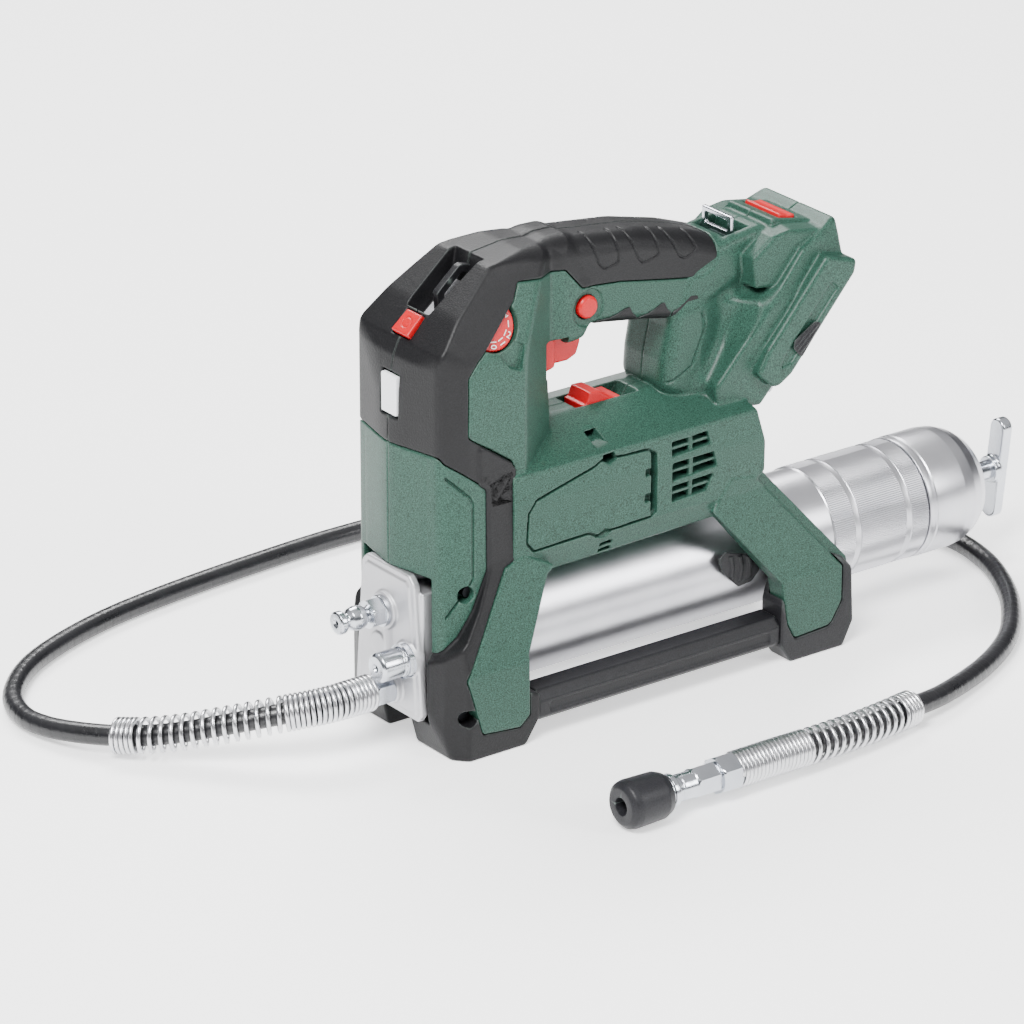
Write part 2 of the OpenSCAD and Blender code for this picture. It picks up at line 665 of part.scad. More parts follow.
// ---- Controls ---------------------------------------------------------------------------------
module trigger() color(red) placed() {
    slab([[84, 179], [103, 181], [104, 174], [101.5, 168.5], [97, 167], [84, 167.5]], -10, 10);
    slab([[76.5, 187.5], [81, 187.5], [85, 180], [85, 167], [80, 166], [76.5, 174]], -13, 13);
    rod_y(trigger_pin_r, -14.8, 14.8, x = trigger_x, z = trigger_z);
}
module lock_off_button() color(red) placed() rod_y(lock_r, -grip_hw - 1.5, grip_hw + 1.5, x = lock_x, z = lock_z);
module lamp_button() color(red) placed() lamp_button_place() block([-6, 6], [-6.4, 6.4], [-3, 1.2]);
module dose_wheel() color(red) placed() wheel_place() rod_y(wheel_r, 0, wheel_t);
module gear_selector() color(red) placed() {
    block([106, 128], [-7.5, 7.5], [spine_z - 6, spine_z - 1]);
    slab([[107, spine_z - 2], [110, spine_z + 4.5], [116, spine_z + 4], [126, spine_z - 2]], -7.5, 7.5);
}
module release_button() color(red) placed() release_place() block([-5, 5], [-13, 13], [-4, 2.5]);
module guide_pads() color("#4a4a50") placed() for (side = [0, 1]) mirror([0, side, 0])
    slab([[207, 160], [219, 167], [223.5, 165.5], [211.5, 150.5], [206.5, 156]], -38, -36.6);

// ---- Hose -----------------------------------------------------------------------------------------
hose_r = 5;
coil_r = 9;
nut_front_x = -14;
far_y = -142;
far_z = 12;
cap_x0 = 26;
coupler_x0 = 48;
coupler_r = 3.4;
nut_rear_x0 = 79;
nut_rear_x1 = 90;
hose_route = [
    [-14, -5, 28.5], [-23, -5, 28.5], [-32, -4.5, 28.2], [-43, -1, 27], [-55, 6, 24.8], [-67, 14.5, 21.8],
    [-79, 24.5, 18.3], [-91, 35.5, 14.5], [-103, 48, 11.5], [-113, 61, 9.5], [-122, 76, 8], [-128, 92, 6.5],
    [-129, 110, 5.2], [-122, 131, 5], [-103, 152, 5], [-78, 167, 5], [-42, 180, 5], [-1, 188, 5],
    [54, 194, 5], [110, 197, 5], [165, 193, 5], [218, 178, 5], [268, 150, 5], [312, 110, 5], [340, 64, 5],
    [352, 20, 5], [348, -16, 5], [333, -49, 5], [314, -75, 5], [292, -96, 5], [263, -113, 5.3],
    [228, -127, 7], [204, -132.5, 8.5], [172, -138.5, 10], [140, -141.5, 11.3], [114, -142, 12], [102, -142, 12], [90, -142, 12]
];
front_coil_last = 9;
rear_coil_first = 32;
// Catmull-Rom point between route points i and i + 1
function at(p, i) = p[min(max(i, 0), len(p) - 1)];
function spline(p, i, t) =
    0.5 * (2 * at(p, i) + (at(p, i + 1) - at(p, i - 1)) * t
    + (2 * at(p, i - 1) - 5 * at(p, i) + 4 * at(p, i + 1) - at(p, i + 2)) * t * t
    + (3 * at(p, i) - at(p, i - 1) - 3 * at(p, i + 1) + at(p, i + 2)) * t * t * t);
// The first and last stretches run straight into their fittings
function refine(p) = [for (i = [0 : len(p) - 2]) for (t = [0, 0.5])
    i == 0 || i == len(p) - 2 ? p[i] + t * (p[i + 1] - p[i]) : spline(p, i, t), at(p, len(p) - 1)];
function part_of(p, a, b) = [for (i = [a : b]) p[i]];
// Ring of n points round path point i
function ring(p, i, r, n) = let (
    t = at(p, i + 1) - at(p, i - 1),
    s = cross(t, [0, 0, 1]) / norm(cross(t, [0, 0, 1])),
    u = cross(s, t) / norm(t)
) [for (k = [0 : n - 1]) p[i] + r * (cos(360 * k / n) * s + sin(360 * k / n) * u)];
module sweep_tube(p, r, n) polyhedron(
    points = [for (i = [0 : len(p) - 1]) each ring(p, i, r, n)],
    faces = concat(
        [[for (k = [0 : n - 1]) n - 1 - k]],
        [for (i = [0 : len(p) - 2], k = [0 : n - 1])
            [i * n + k, i * n + (k + 1) % n, (i + 1) * n + (k + 1) % n, (i + 1) * n + k]],
        [[for (k = [0 : n - 1]) (len(p) - 1) * n + k]]));
hose_path = refine(hose_route);
module hose() color("#202022") placed() sweep_tube(hose_path, hose_r, 10);
module coil_guard(a, b) difference() {
    sweep_tube(part_of(hose_path, a, b), coil_r, 12);
    sweep_tube(part_of(hose_path, max(a - 1, 0), min(b + 1, len(hose_path) - 1)), hose_r + 0.4, 12);
}
module hose_spring_front() color(zinc) placed() coil_guard(0, 2 * front_coil_last);
module hose_spring_rear() color(zinc) placed() coil_guard(2 * rear_coil_first, len(hose_path) - 1);
module hose_nut_front() color(zinc) placed() {
    rod_x(8.2, nut_front_x, -4.05, y = outlet_y, z = outlet_z, n = 6);
    rod_x(5, -4.1, 5.5, y = outlet_y, z = outlet_z);
}
module hose_nut_rear() color(zinc) placed() rod_x(9.4, nut_rear_x0, nut_rear_x1, y = far_y, z = far_z, n = 6);
module coupler() color(zinc) placed() difference() {
    union() {
        rod_x(7.6, 66, nut_rear_x0, y = far_y, z = far_z, n = 6);
        rod_x(6.5, 55, 66.1, y = far_y, z = far_z);
        rod_x(8, coupler_x0, 55.1, y = far_y, z = far_z);
    }
    rod_x(coupler_r, coupler_x0 - 1, coupler_x0 + 12, y = far_y, z = far_z);
}
module coupler_cap() color("#1c1c1e") placed() difference() {
    rod_x(11.6, cap_x0, 50, y = far_y, z = far_z);
    rod_x(8, coupler_x0, 51, y = far_y, z = far_z);
    rod_x(4, cap_x0 - 1, coupler_x0, y = far_y, z = far_z);
}

housing_left();
housing_right();
grip_cover_left();
grip_cover_right();
bumper_left();
bumper_right();
skid_rail_left();
skid_rail_right();
rear_foot_left();
rear_foot_right();
finger_inserts();
pump_head();
filler_nipple();
relief_valve();
valve_plug();
check_ball();
check_spring();
plate_screws();
housing_screws();
lamp_lens();
lamp_board();
strap_bar();
rear_strap_eye();
battery_rails();
terminal_block();
motor_can();
motor_bearings();
gearbox_case();
output_bearing();
switch_body();
control_board();
armature();
cooling_fan();
sun_pinion();
planet_carrier();
planet_gears();
crank_disc();
plunger();
barrel_tube();
end_cap();
rod_seal();
follower_rod();
t_handle();
follower_piston();
follower_spring();
barrel_latch();
trigger();
lock_off_button();
lamp_button();
dose_wheel();
gear_selector();
release_button();
guide_pads();
hose();
hose_spring_front();
hose_spring_rear();
hose_nut_front();
hose_nut_rear();
coupler();
coupler_cap();
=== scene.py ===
import math

import bmesh
import bpy
import numpy as np
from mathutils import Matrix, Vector


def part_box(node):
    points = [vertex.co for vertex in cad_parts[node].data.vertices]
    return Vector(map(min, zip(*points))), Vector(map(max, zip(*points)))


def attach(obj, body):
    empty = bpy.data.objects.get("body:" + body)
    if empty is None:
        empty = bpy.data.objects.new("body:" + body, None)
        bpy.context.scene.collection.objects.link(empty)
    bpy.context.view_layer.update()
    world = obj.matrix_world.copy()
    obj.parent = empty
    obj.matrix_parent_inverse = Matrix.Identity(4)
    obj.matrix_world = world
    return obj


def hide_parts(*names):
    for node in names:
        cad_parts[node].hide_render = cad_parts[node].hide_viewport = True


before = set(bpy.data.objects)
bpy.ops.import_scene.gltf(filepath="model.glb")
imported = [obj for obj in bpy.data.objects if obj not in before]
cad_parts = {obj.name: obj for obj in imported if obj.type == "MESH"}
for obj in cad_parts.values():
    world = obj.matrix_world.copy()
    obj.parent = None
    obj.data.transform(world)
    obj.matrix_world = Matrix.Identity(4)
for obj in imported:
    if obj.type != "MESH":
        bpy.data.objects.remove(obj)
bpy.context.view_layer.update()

# ---- Setting -------------------------------------------------------------------
# The tool stands on a plain white studio floor under large soft lights.
# Places are given in millimetres from the middle of the pump's front plate at
# floor level: x runs to the rear, y to the right-hand side and z up.
MM = 0.001
PLATE_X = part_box("skid_rail_left")[0].x - 54 * MM


def place(point):
    return Vector((PLATE_X + point[0] * MM, point[1] * MM, point[2] * MM))


def colour(code):
    """sRGB hex to linear RGBA"""
    parts = [int(code[i:i + 2], 16) / 255 for i in (0, 2, 4)]
    return (*[c / 12.92 if c <= 0.04045 else ((c + 0.055) / 1.055) ** 2.4 for c in parts], 1)


def add(tree, kind, links=None, values=None, **settings):
    """Adds one node: links are (socket, other node's output), values are socket defaults"""
    node = tree.nodes.new(kind)
    for name, value in settings.items():
        setattr(node, name, value)
    for name, value in (values or {}).items():
        node.inputs[name].default_value = value
    for name, source in (links or {}).items():
        tree.links.new(source, node.inputs[name])
    return node


def new_material(name):
    """A material with an empty surface: returns its tree, its shader and its object coordinates"""
    material = bpy.data.materials.new(name)
    material.use_nodes = True
    tree = material.node_tree
    where = tree.nodes.new("ShaderNodeTexCoord").outputs["Object"]
    return material, tree, tree.nodes["Principled BSDF"], where


def blend(tree, factor, first, second):
    """Mixes two colours by a factor"""
    mix = add(tree, "ShaderNodeMix", {0: factor}, data_type="RGBA")
    mix.inputs[6].default_value = colour(first)
    mix.inputs[7].default_value = colour(second)
    return mix


def finish(tree, shader, tone, rough, bump, metallic=0.0):
    """Leads a colour, a roughness and a relief into the surface"""
    tree.links.new(tone.outputs[2], shader.inputs["Base Color"])
    tree.links.new(rough.outputs[0], shader.inputs["Roughness"])
    tree.links.new(bump.outputs[0], shader.inputs["Normal"])
    shader.inputs["Metallic"].default_value = metallic


def mesh_object(name, points, faces):
    mesh = bpy.data.meshes.new(name)
    mesh.from_pydata([tuple(p) for p in points], [], [tuple(f) for f in faces])
    mesh.shade_smooth()
    thing = bpy.data.objects.new(name, mesh)
    bpy.context.scene.collection.objects.link(thing)
    return thing


def stands_for(thing, slot, *nodes):
    """Hides these CAD nodes, whose place the piece takes; the material slot is not used"""
    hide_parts(*nodes)


# Painted studio floor: white, matt, faintly uneven where it was rolled
studio_paint, tree, shader, where = new_material("studio_paint")
rolled = add(tree, "ShaderNodeTexNoise", {"Vector": where}, {"Scale": 6.0, "Detail": 3.0})
shade = blend(tree, rolled.outputs["Fac"], "f6f6f6", "fbfbfb")
tree.links.new(shade.outputs[2], shader.inputs["Base Color"])
shader.inputs["Roughness"].default_value = 0.75
shader.inputs["Emission Color"].default_value = colour("ffffff")
shader.inputs["Emission Strength"].default_value = 0.9
FLOOR_HALF = 4.0
floor_corners = [(FLOOR_HALF * a, FLOOR_HALF * b, 0) for a, b in ((-1, -1), (1, -1), (1, 1), (-1, 1))]
floor = mesh_object("studio_floor", floor_corners, [(0, 1, 2, 3)])
floor.data.materials.append(studio_paint)

camera_data = bpy.data.cameras.new("camera")
camera = bpy.data.objects.new("camera", camera_data)
bpy.context.scene.collection.objects.link(camera)
CAMERA_AIM = place((71.2, 0.6, 94.8))
CAMERA_WAY = Vector((0.5475, 0.7400, -0.3907)).normalized()
CAMERA_REACH = 2.773
camera.location = CAMERA_AIM - CAMERA_WAY * CAMERA_REACH
camera.rotation_euler = CAMERA_WAY.to_track_quat("-Z", "Y").to_euler()
camera_data.sensor_width = 36
camera_data.lens = 210.9
camera_data.clip_end = 50
bpy.context.scene.camera = camera

# A dark band round the horizon under a bright ceiling puts contrast into the metal
sky = bpy.data.worlds.new("studio_sky")
sky.use_nodes = True
look = add(sky.node_tree, "ShaderNodeTexCoord")
height = add(sky.node_tree, "ShaderNodeSeparateXYZ", {"Vector": look.outputs["Generated"]})
band = add(sky.node_tree, "ShaderNodeMapRange", {"Value": height.outputs["Z"]},
           {"From Min": 0.3, "From Max": 0.75}, interpolation_type="SMOOTHSTEP")
glow = blend(sky.node_tree, band.outputs[0], "4a4c50", "ffffff")
background = sky.node_tree.nodes["Background"]
sky.node_tree.links.new(glow.outputs[2], background.inputs["Color"])
background.inputs["Strength"].default_value = 0.8
bpy.context.scene.world = sky


def soft_light(name, position, aim, size, power):
    light = bpy.data.lights.new(name, "AREA")
    light.shape = "RECTANGLE"
    light.size, light.size_y = size
    light.energy = power
    lamp = bpy.data.objects.new(name, light)
    lamp.location = position
    lamp.rotation_euler = (Vector(aim) - Vector(position)).to_track_quat("-Z", "Y").to_euler()
    bpy.context.scene.collection.objects.link(lamp)


soft_light("key_light", (-1.1, -0.7, 1.7), (0, 0, 0.1), (0.8, 0.8), 85)
soft_light("side_light", (0.9, -1.7, 1.1), (0.05, 0, 0.1), (0.5, 0.9), 26)
soft_light("back_light", (0.4, 1.3, 1.6), (0, 0, 0.1), (1.4, 0.6), 60)

# ---- Hose -----------------------------------------------------------------------
# High pressure grease hose: black rubber over a braided core, 10 mm outside. It is
# pushed on its two fittings, runs round behind the tool and lies on the floor.
HOSE_ROUTE = [
    (-14, -5, 28.5), (-23, -5, 28.5), (-32, -4.5, 28.2), (-43, -1, 27), (-55, 6, 24.8), (-67, 14.5, 21.8),
    (-79, 24.5, 18.3), (-91, 35.5, 14.5), (-103, 48, 11.5), (-113, 61, 9.5), (-122, 76, 8), (-128, 92, 6.5),
    (-129, 110, 5.2), (-122, 131, 5), (-103, 152, 5), (-78, 167, 5), (-42, 180, 5), (-1, 188, 5),
    (54, 194, 5), (110, 197, 5), (165, 193, 5), (218, 178, 5), (268, 150, 5), (312, 110, 5), (340, 64, 5),
    (352, 20, 5), (348, -16, 5), (333, -49, 5), (314, -75, 5), (292, -96, 5), (263, -113, 5.3),
    (228, -127, 7), (204, -132.5, 8.5), (172, -138.5, 10), (140, -141.5, 11.3), (114, -142, 12),
    (102, -142, 12), (90, -142, 12),
]
HOSE_R = 5.0
ROUTE_STEPS = 10


def smooth_route(points, steps):
    """Catmull-Rom curve through the points; the first and last stretches stay straight"""
    p = np.array(points, float)
    p = np.vstack([p[:1], p, p[-1:]])
    line = []
    for i in range(1, len(p) - 2):
        for t in np.arange(steps) / steps:
            if i in (1, len(p) - 3):
                line.append(p[i] + t * (p[i + 1] - p[i]))
            else:
                line.append(0.5 * (2 * p[i] + (p[i + 1] - p[i - 1]) * t
                                   + (2 * p[i - 1] - 5 * p[i] + 4 * p[i + 1] - p[i + 2]) * t ** 2
                                   + (3 * p[i] - p[i - 1] - 3 * p[i + 1] + p[i + 2]) * t ** 3))
    return np.array(line + [p[-1]])


def along(line):
    """Length along a line of points, at each point"""
    return np.concatenate([[0], np.cumsum(np.linalg.norm(np.diff(line, axis=0), axis=1))])


def ring_faces(loops, rings, sides):
    """Quads between neighbouring rings of points; the ring after the last is the first one"""
    return [(i * sides + k, (i + 1) % rings * sides + k, (i + 1) % rings * sides + (k + 1) % sides,
             i * sides + (k + 1) % sides) for i in range(loops) for k in range(sides)]


def sweep(name, line, radius, sides, spin=None):
    """A closed tube along the line, with UVs in millimetres along it and round it"""
    tangent = np.gradient(line, axis=0)
    tangent /= np.linalg.norm(tangent, axis=1)[:, None]
    side = np.cross(tangent, (0, 0, 1.0)) if spin is None else spin
    side /= np.linalg.norm(side, axis=1)[:, None]
    up = np.cross(side, tangent)
    turn = 2 * math.pi * np.arange(sides) / sides
    rings = line[:, None, :] + radius * (
        np.cos(turn)[None, :, None] * side[:, None, :] + np.sin(turn)[None, :, None] * up[:, None, :])
    points = [place(q) for q in rings.reshape(-1, 3)] + [place(line[0]), place(line[-1])]
    last = len(line) - 1
    faces = ring_faces(last, len(line), sides)
    near_end, far_end, far_ring = len(line) * sides, len(line) * sides + 1, last * sides
    faces += [(near_end, k, (k + 1) % sides) for k in range(sides)]
    faces += [(far_end, far_ring + (k + 1) % sides, far_ring + k) for k in range(sides)]
    tube = mesh_object(name, points, faces)
    reach = along(line)
    uv = tube.data.uv_layers.new(name="run")
    flat = []
    for i in range(last):
        for k in range(sides):
            round_a, round_b = k / sides, (k + 1) / sides
            flat += [(reach[i], round_a), (reach[i + 1], round_a), (reach[i + 1], round_b),
                     (reach[i], round_b)]
    flat += [(0, 0)] * (len(uv.data) - len(flat))
    uv.data.foreach_set("uv", np.array(flat, np.float32).ravel())
    return tube


# Extruded nitrile rubber wrapped in cloth while it cured: glossy, with the faint
# spiral print of the wrapping tape every 6 mm
hose_rubber, tree, shader, where = new_material("wrapped_nitrile_rubber")
run = add(tree, "ShaderNodeUVMap", uv_map="run")
parts = add(tree, "ShaderNodeSeparateXYZ", {"Vector": run.outputs["UV"]})
TAPE_STEP = 6.0
winding = add(tree, "ShaderNodeMath", {0: parts.outputs["X"]}, {1: 1 / TAPE_STEP}, operation="MULTIPLY")
phase = add(tree, "ShaderNodeMath", {0: winding.outputs[0], 1: parts.outputs["Y"]}, operation="ADD")
ramp = add(tree, "ShaderNodeMath", {0: phase.outputs[0]}, operation="FRACT")
print_edge = add(tree, "ShaderNodeMapRange", {"Value": ramp.outputs[0]}, {"From Max": 0.35},
                 interpolation_type="SMOOTHSTEP")
weave = add(tree, "ShaderNodeTexNoise", {"Vector": where}, {"Scale": 900.0, "Detail": 2.0})
lift = add(tree, "ShaderNodeMath", {0: print_edge.outputs[0], 1: weave.outputs["Fac"]}, operation="ADD")
bump = add(tree, "ShaderNodeBump", {"Height": lift.outputs[0]}, {"Strength": 0.35, "Distance": 0.0003})
dust = add(tree, "ShaderNodeTexNoise", {"Vector": where}, {"Scale": 60.0, "Detail": 5.0})
tint = blend(tree, dust.outputs["Fac"], "101012", "1f1f22")
rough = add(tree, "ShaderNodeMapRange", {"Value": dust.outputs["Fac"]}, {"To Min": 0.2, "To Max": 0.42})
finish(tree, shader, tint, rough, bump)

hose_line = smooth_route(HOSE_ROUTE, ROUTE_STEPS)
hose = sweep("hose_tube", hose_line, HOSE_R, 24)
hose.data.materials.append(hose_rubber)
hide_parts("hose")

# ---- Coil spring guards -----------------------------------------------------------
# Each end of the hose is sleeved in a spring of 2.2 mm bright wire that keeps it
# from kinking: close wound at the fitting, then open, with a few dead turns at the end.
WIRE_R = 1.1
COIL_R = 7.7


# Drawn spring wire: bright, with fine draw lines along the wire
spring_wire, tree, shader, where = new_material("drawn_spring_wire")
run = add(tree, "ShaderNodeUVMap", uv_map="run")
stretch = add(tree, "ShaderNodeVectorMath", {0: run.outputs["UV"]}, {1: (0.02, 14.0, 1.0)},
              operation="MULTIPLY")
lines = add(tree, "ShaderNodeTexNoise", {"Vector": stretch.outputs[0]}, {"Scale": 2.0, "Detail": 4.0})
bump = add(tree, "ShaderNodeBump", {"Height": lines.outputs["Fac"]}, {"Strength": 0.12, "Distance": 0.0001})
rough = add(tree, "ShaderNodeMapRange", {"Value": lines.outputs["Fac"]}, {"To Min": 0.2, "To Max": 0.36})
stain = add(tree, "ShaderNodeTexNoise", {"Vector": where}, {"Scale": 120.0, "Detail": 3.0})
finish(tree, shader, blend(tree, stain.outputs["Fac"], "b9babd", "e2e2e4"), rough, bump, metallic=1.0)


def coil(name, line, turns):
    """A wire wound round the line. turns are (length along the line, pitch) stretches"""
    sides, per_turn = 8, 26
    reach = along(line)
    steps = []
    position = 0.0
    for length, pitch in turns:
        end = position + length
        while position < end:
            steps.append(position)
            position += pitch / per_turn
    steps = np.array(steps)
    centre = np.stack([np.interp(steps, reach, line[:, i]) for i in range(3)], 1)
    tangent = np.gradient(centre, axis=0)
    tangent /= np.linalg.norm(tangent, axis=1)[:, None]
    side = np.cross(tangent, (0, 0, 1.0))
    side /= np.linalg.norm(side, axis=1)[:, None]
    up = np.cross(side, tangent)
    turn = 2 * math.pi * np.arange(len(steps)) / per_turn
    out = np.cos(turn)[:, None] * side + np.sin(turn)[:, None] * up
    wound = sweep(name, centre + COIL_R * out, WIRE_R, sides, spin=out)
    wound.data.materials.append(spring_wire)
    return wound


CLOSED = 2 * WIRE_R + 0.05
FRONT_TURNS, REAR_TURNS = 14, 13               # open turns
front_stretch = hose_line[:9 * ROUTE_STEPS + 1]
front_length = along(front_stretch)[-1]
front_shut = 0.34 * front_length
front_end = 5 * CLOSED
front_open = front_length - front_shut - front_end - 2 * WIRE_R
spring_front = coil("spring_guard_front", front_stretch,
                    [(front_shut, CLOSED), (front_open, front_open / FRONT_TURNS), (front_end, CLOSED)])
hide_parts("hose_spring_front")
rear_stretch = hose_line[32 * ROUTE_STEPS:][::-1]
rear_length = along(rear_stretch)[-1]
rear_shut = 0.36 * rear_length
rear_end = 4 * CLOSED
rear_open = rear_length - rear_shut - rear_end - 2 * WIRE_R
spring_rear = coil("spring_guard_rear", rear_stretch,
                   [(rear_shut, CLOSED), (rear_open, rear_open / REAR_TURNS), (rear_end, CLOSED)])
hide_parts("hose_spring_rear")
for spring in (spring_front, spring_rear):
    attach(spring, "tool")
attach(hose, "tool")

# ---- Housing shells ------------------------------------------------------------------
# Two halves injection moulded in glass filled nylon meet on the centre line, screwed
# together. Each is one moulding: column, handle, motor housing, battery mount and legs.
FINE = 0.65


class Mould:
    """A block of space, in millimetres, in which a moulding is shaped by signed distances"""

    def __init__(self, low, high, cell):
        self.cell = cell
        self.low = np.array(low, float) - 2.3 * cell
        count = np.ceil((np.array(high, float) + 2.3 * cell - self.low) / cell).astype(int) + 1
        axes = [(self.low[i] + cell * np.arange(count[i])).astype(np.float32) for i in range(3)]
        self.x, self.y, self.z = axes[0][:, None, None], axes[1][None, :, None], axes[2][None, None, :]
        self.shape = tuple(count)


def rounded(points, radius, steps=4):
    """The outline with each corner turned into an arc; a third number sets that corner's own radius"""
    out = []
    count = len(points)
    for i, corner in enumerate(points):
        here = np.array(corner[:2], float)
        r = corner[2] if len(corner) > 2 else radius
        before, after = (np.array(points[(i + k) % count][:2], float) - here for k in (-1, 1))
        len_a, len_b = np.linalg.norm(before), np.linalg.norm(after)
        half = math.acos(np.clip(before @ after / (len_a * len_b), -1, 1)) / 2
        back = min(r / max(math.tan(half), 1e-3), 0.45 * len_a, 0.45 * len_b)
        a, b = here + before / len_a * back, here + after / len_b * back
        for t in np.linspace(0, 1, steps + 1):
            out.append(tuple((1 - t) ** 2 * a + 2 * t * (1 - t) * here + t ** 2 * b))
    return out


def outline(points, u, v):
    """Signed distance to a closed outline, negative inside"""
    u, v = np.broadcast_arrays(u, v)
    far = np.full(u.shape, 1e12, np.float32)
    inside = np.zeros(u.shape, bool)
    for (ax, ay), (bx, by) in zip(points, points[1:] + points[:1]):
        ex, ey = bx - ax, by - ay
        size = ex * ex + ey * ey
        if size < 1e-9:
            continue
        wx, wy = u - ax, v - ay
        t = np.clip((wx * ex + wy * ey) / size, 0, 1)
        far = np.minimum(far, (wx - ex * t) ** 2 + (wy - ey * t) ** 2)
        if ay != by:
            inside ^= ((ay > v) != (by > v)) & (u < ex * (v - ay) / ey + ax)
    return np.where(inside, -np.sqrt(far), np.sqrt(far)).astype(np.float32)


def both(r, *fields):
    """What all have in common, with edges rounded to r"""
    out = fields[0]
    for field in fields[1:]:
        edge = np.hypot(np.maximum(out + r, 0), np.maximum(field + r, 0))
        out = np.minimum(-r, np.maximum(out, field)) + edge
    return out


def join(r, *fields):
    """All together, with fillets of r in the inner corners"""
    out = fields[0]
    for field in fields[1:]:
        fillet = np.hypot(np.maximum(r - out, 0), np.maximum(r - field, 0))
        out = np.maximum(r, np.minimum(out, field)) - fillet
    return out


def cut(r, field, *tools):
    for tool in tools:
        field = both(r, field, -tool)
    return field


def between(v, low, high):
    return np.maximum(low - v, v - high)


def rod(u, v, centre, r):
    return np.hypot(u - centre[0], v - centre[1]) - r


def sampled(field, m, points):
    """The field at free points, in millimetres"""
    g = (points - m.low) / m.cell
    top = np.array(field.shape) - 2
    base = np.clip(np.floor(g).astype(int), 0, top)
    f = np.clip(g - base, 0, 1)
    value = np.zeros(len(points))
    for corner in range(8):
        step = [(corner >> k) & 1 for k in range(3)]
        weight = np.prod([f[:, k] if step[k] else 1 - f[:, k] for k in range(3)], axis=0)
        value += weight * field[base[:, 0] + step[0], base[:, 1] + step[1], base[:, 2] + step[2]]
    return value


def slope(field, m, points):
    """Which way the field rises at free points"""
    steps = 0.55 * m.cell * np.eye(3)
    rise = np.stack([sampled(field, m, points + h) - sampled(field, m, points - h) for h in steps], 1)
    return rise / np.maximum(np.linalg.norm(rise, axis=1), 1e-9)[:, None]


def moulding(name, field, m, body, material, keep=0.3, mirrored=False):
    """Draws the skin of a shaped field: one point in each cell that the surface crosses"""
    field = np.ascontiguousarray(np.broadcast_to(field, m.shape), np.float32)
    inside = field < 0
    stride = np.array([m.shape[1] * m.shape[2], m.shape[2], 1])
    cells, spots, quads = [], [], []
    for axis in range(3):
        o, p = (axis + 1) % 3, (axis + 2) % 3
        near = [slice(None)] * 3
        nigh = [slice(None)] * 3
        near[axis], nigh[axis] = slice(0, -1), slice(1, None)
        hit = np.argwhere(inside[tuple(near)] != inside[tuple(nigh)])
        ahead = hit.copy()
        ahead[:, axis] += 1
        f0, f1 = field[tuple(hit.T)], field[tuple(ahead.T)]
        spot = hit.astype(float)
        spot[:, axis] += f0 / (f0 - f1)
        ring = []
        for back_o, back_p in ((1, 1), (0, 1), (0, 0), (1, 0)):
            cell = hit.copy()
            cell[:, o] -= back_o
            cell[:, p] -= back_p
            ring.append(cell @ stride)
            cells.append(ring[-1])
            spots.append(spot)
        quad = np.stack(ring, 1)
        quads.append(np.where((f0 < 0)[:, None], quad, quad[:, ::-1]))
    ids, where_in = np.unique(np.concatenate(cells), return_inverse=True)
    spots = np.concatenate(spots)
    count = np.bincount(where_in)
    points = np.stack([np.bincount(where_in, spots[:, k]) / count for k in range(3)], 1) * m.cell + m.low
    for _ in range(2):
        off = sampled(field, m, points)
        points -= np.clip(off, -0.4 * m.cell, 0.4 * m.cell)[:, None] * slope(field, m, points)
    faces = np.searchsorted(ids, np.concatenate(quads))
    mesh = bpy.data.meshes.new(name)
    mesh.vertices.add(len(points))
    mesh.vertices.foreach_set("co", (points / 1000).astype(np.float32).ravel())
    mesh.loops.add(faces.size)
    mesh.loops.foreach_set("vertex_index", faces.astype(np.int32).ravel())
    mesh.polygons.add(len(faces))
    mesh.polygons.foreach_set("loop_start", (4 * np.arange(len(faces))).astype(np.int32))
    mesh.update(calc_edges=True)
    thing = bpy.data.objects.new(name, mesh)
    bpy.context.scene.collection.objects.link(thing)
    thin = thing.modifiers.new("thin", "DECIMATE")
    thin.ratio = keep
    bpy.context.view_layer.update()
    thinned = bpy.data.meshes.new_from_object(thing.evaluated_get(bpy.context.evaluated_depsgraph_get()))
    thing.modifiers.clear()
    thing.data = thinned
    bpy.data.meshes.remove(mesh)
    thinned.name = name
    co = np.zeros(len(thinned.vertices) * 3, np.float32)
    thinned.vertices.foreach_get("co", co)
    co = co.reshape(-1, 3).astype(float)
    normals = slope(field, m, co * 1000)
    co[:, 0] += PLATE_X
    if mirrored:
        co[:, 1] *= -1
        normals[:, 1] *= -1
        thinned.flip_normals()
    thinned.vertices.foreach_set("co", co.astype(np.float32).ravel())
    thinned.shade_smooth()
    thinned.update()
    thinned.normals_split_custom_set_from_vertices(normals)
    thinned.materials.clear()
    thinned.materials.append(material)
    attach(thing, body)
    return thing


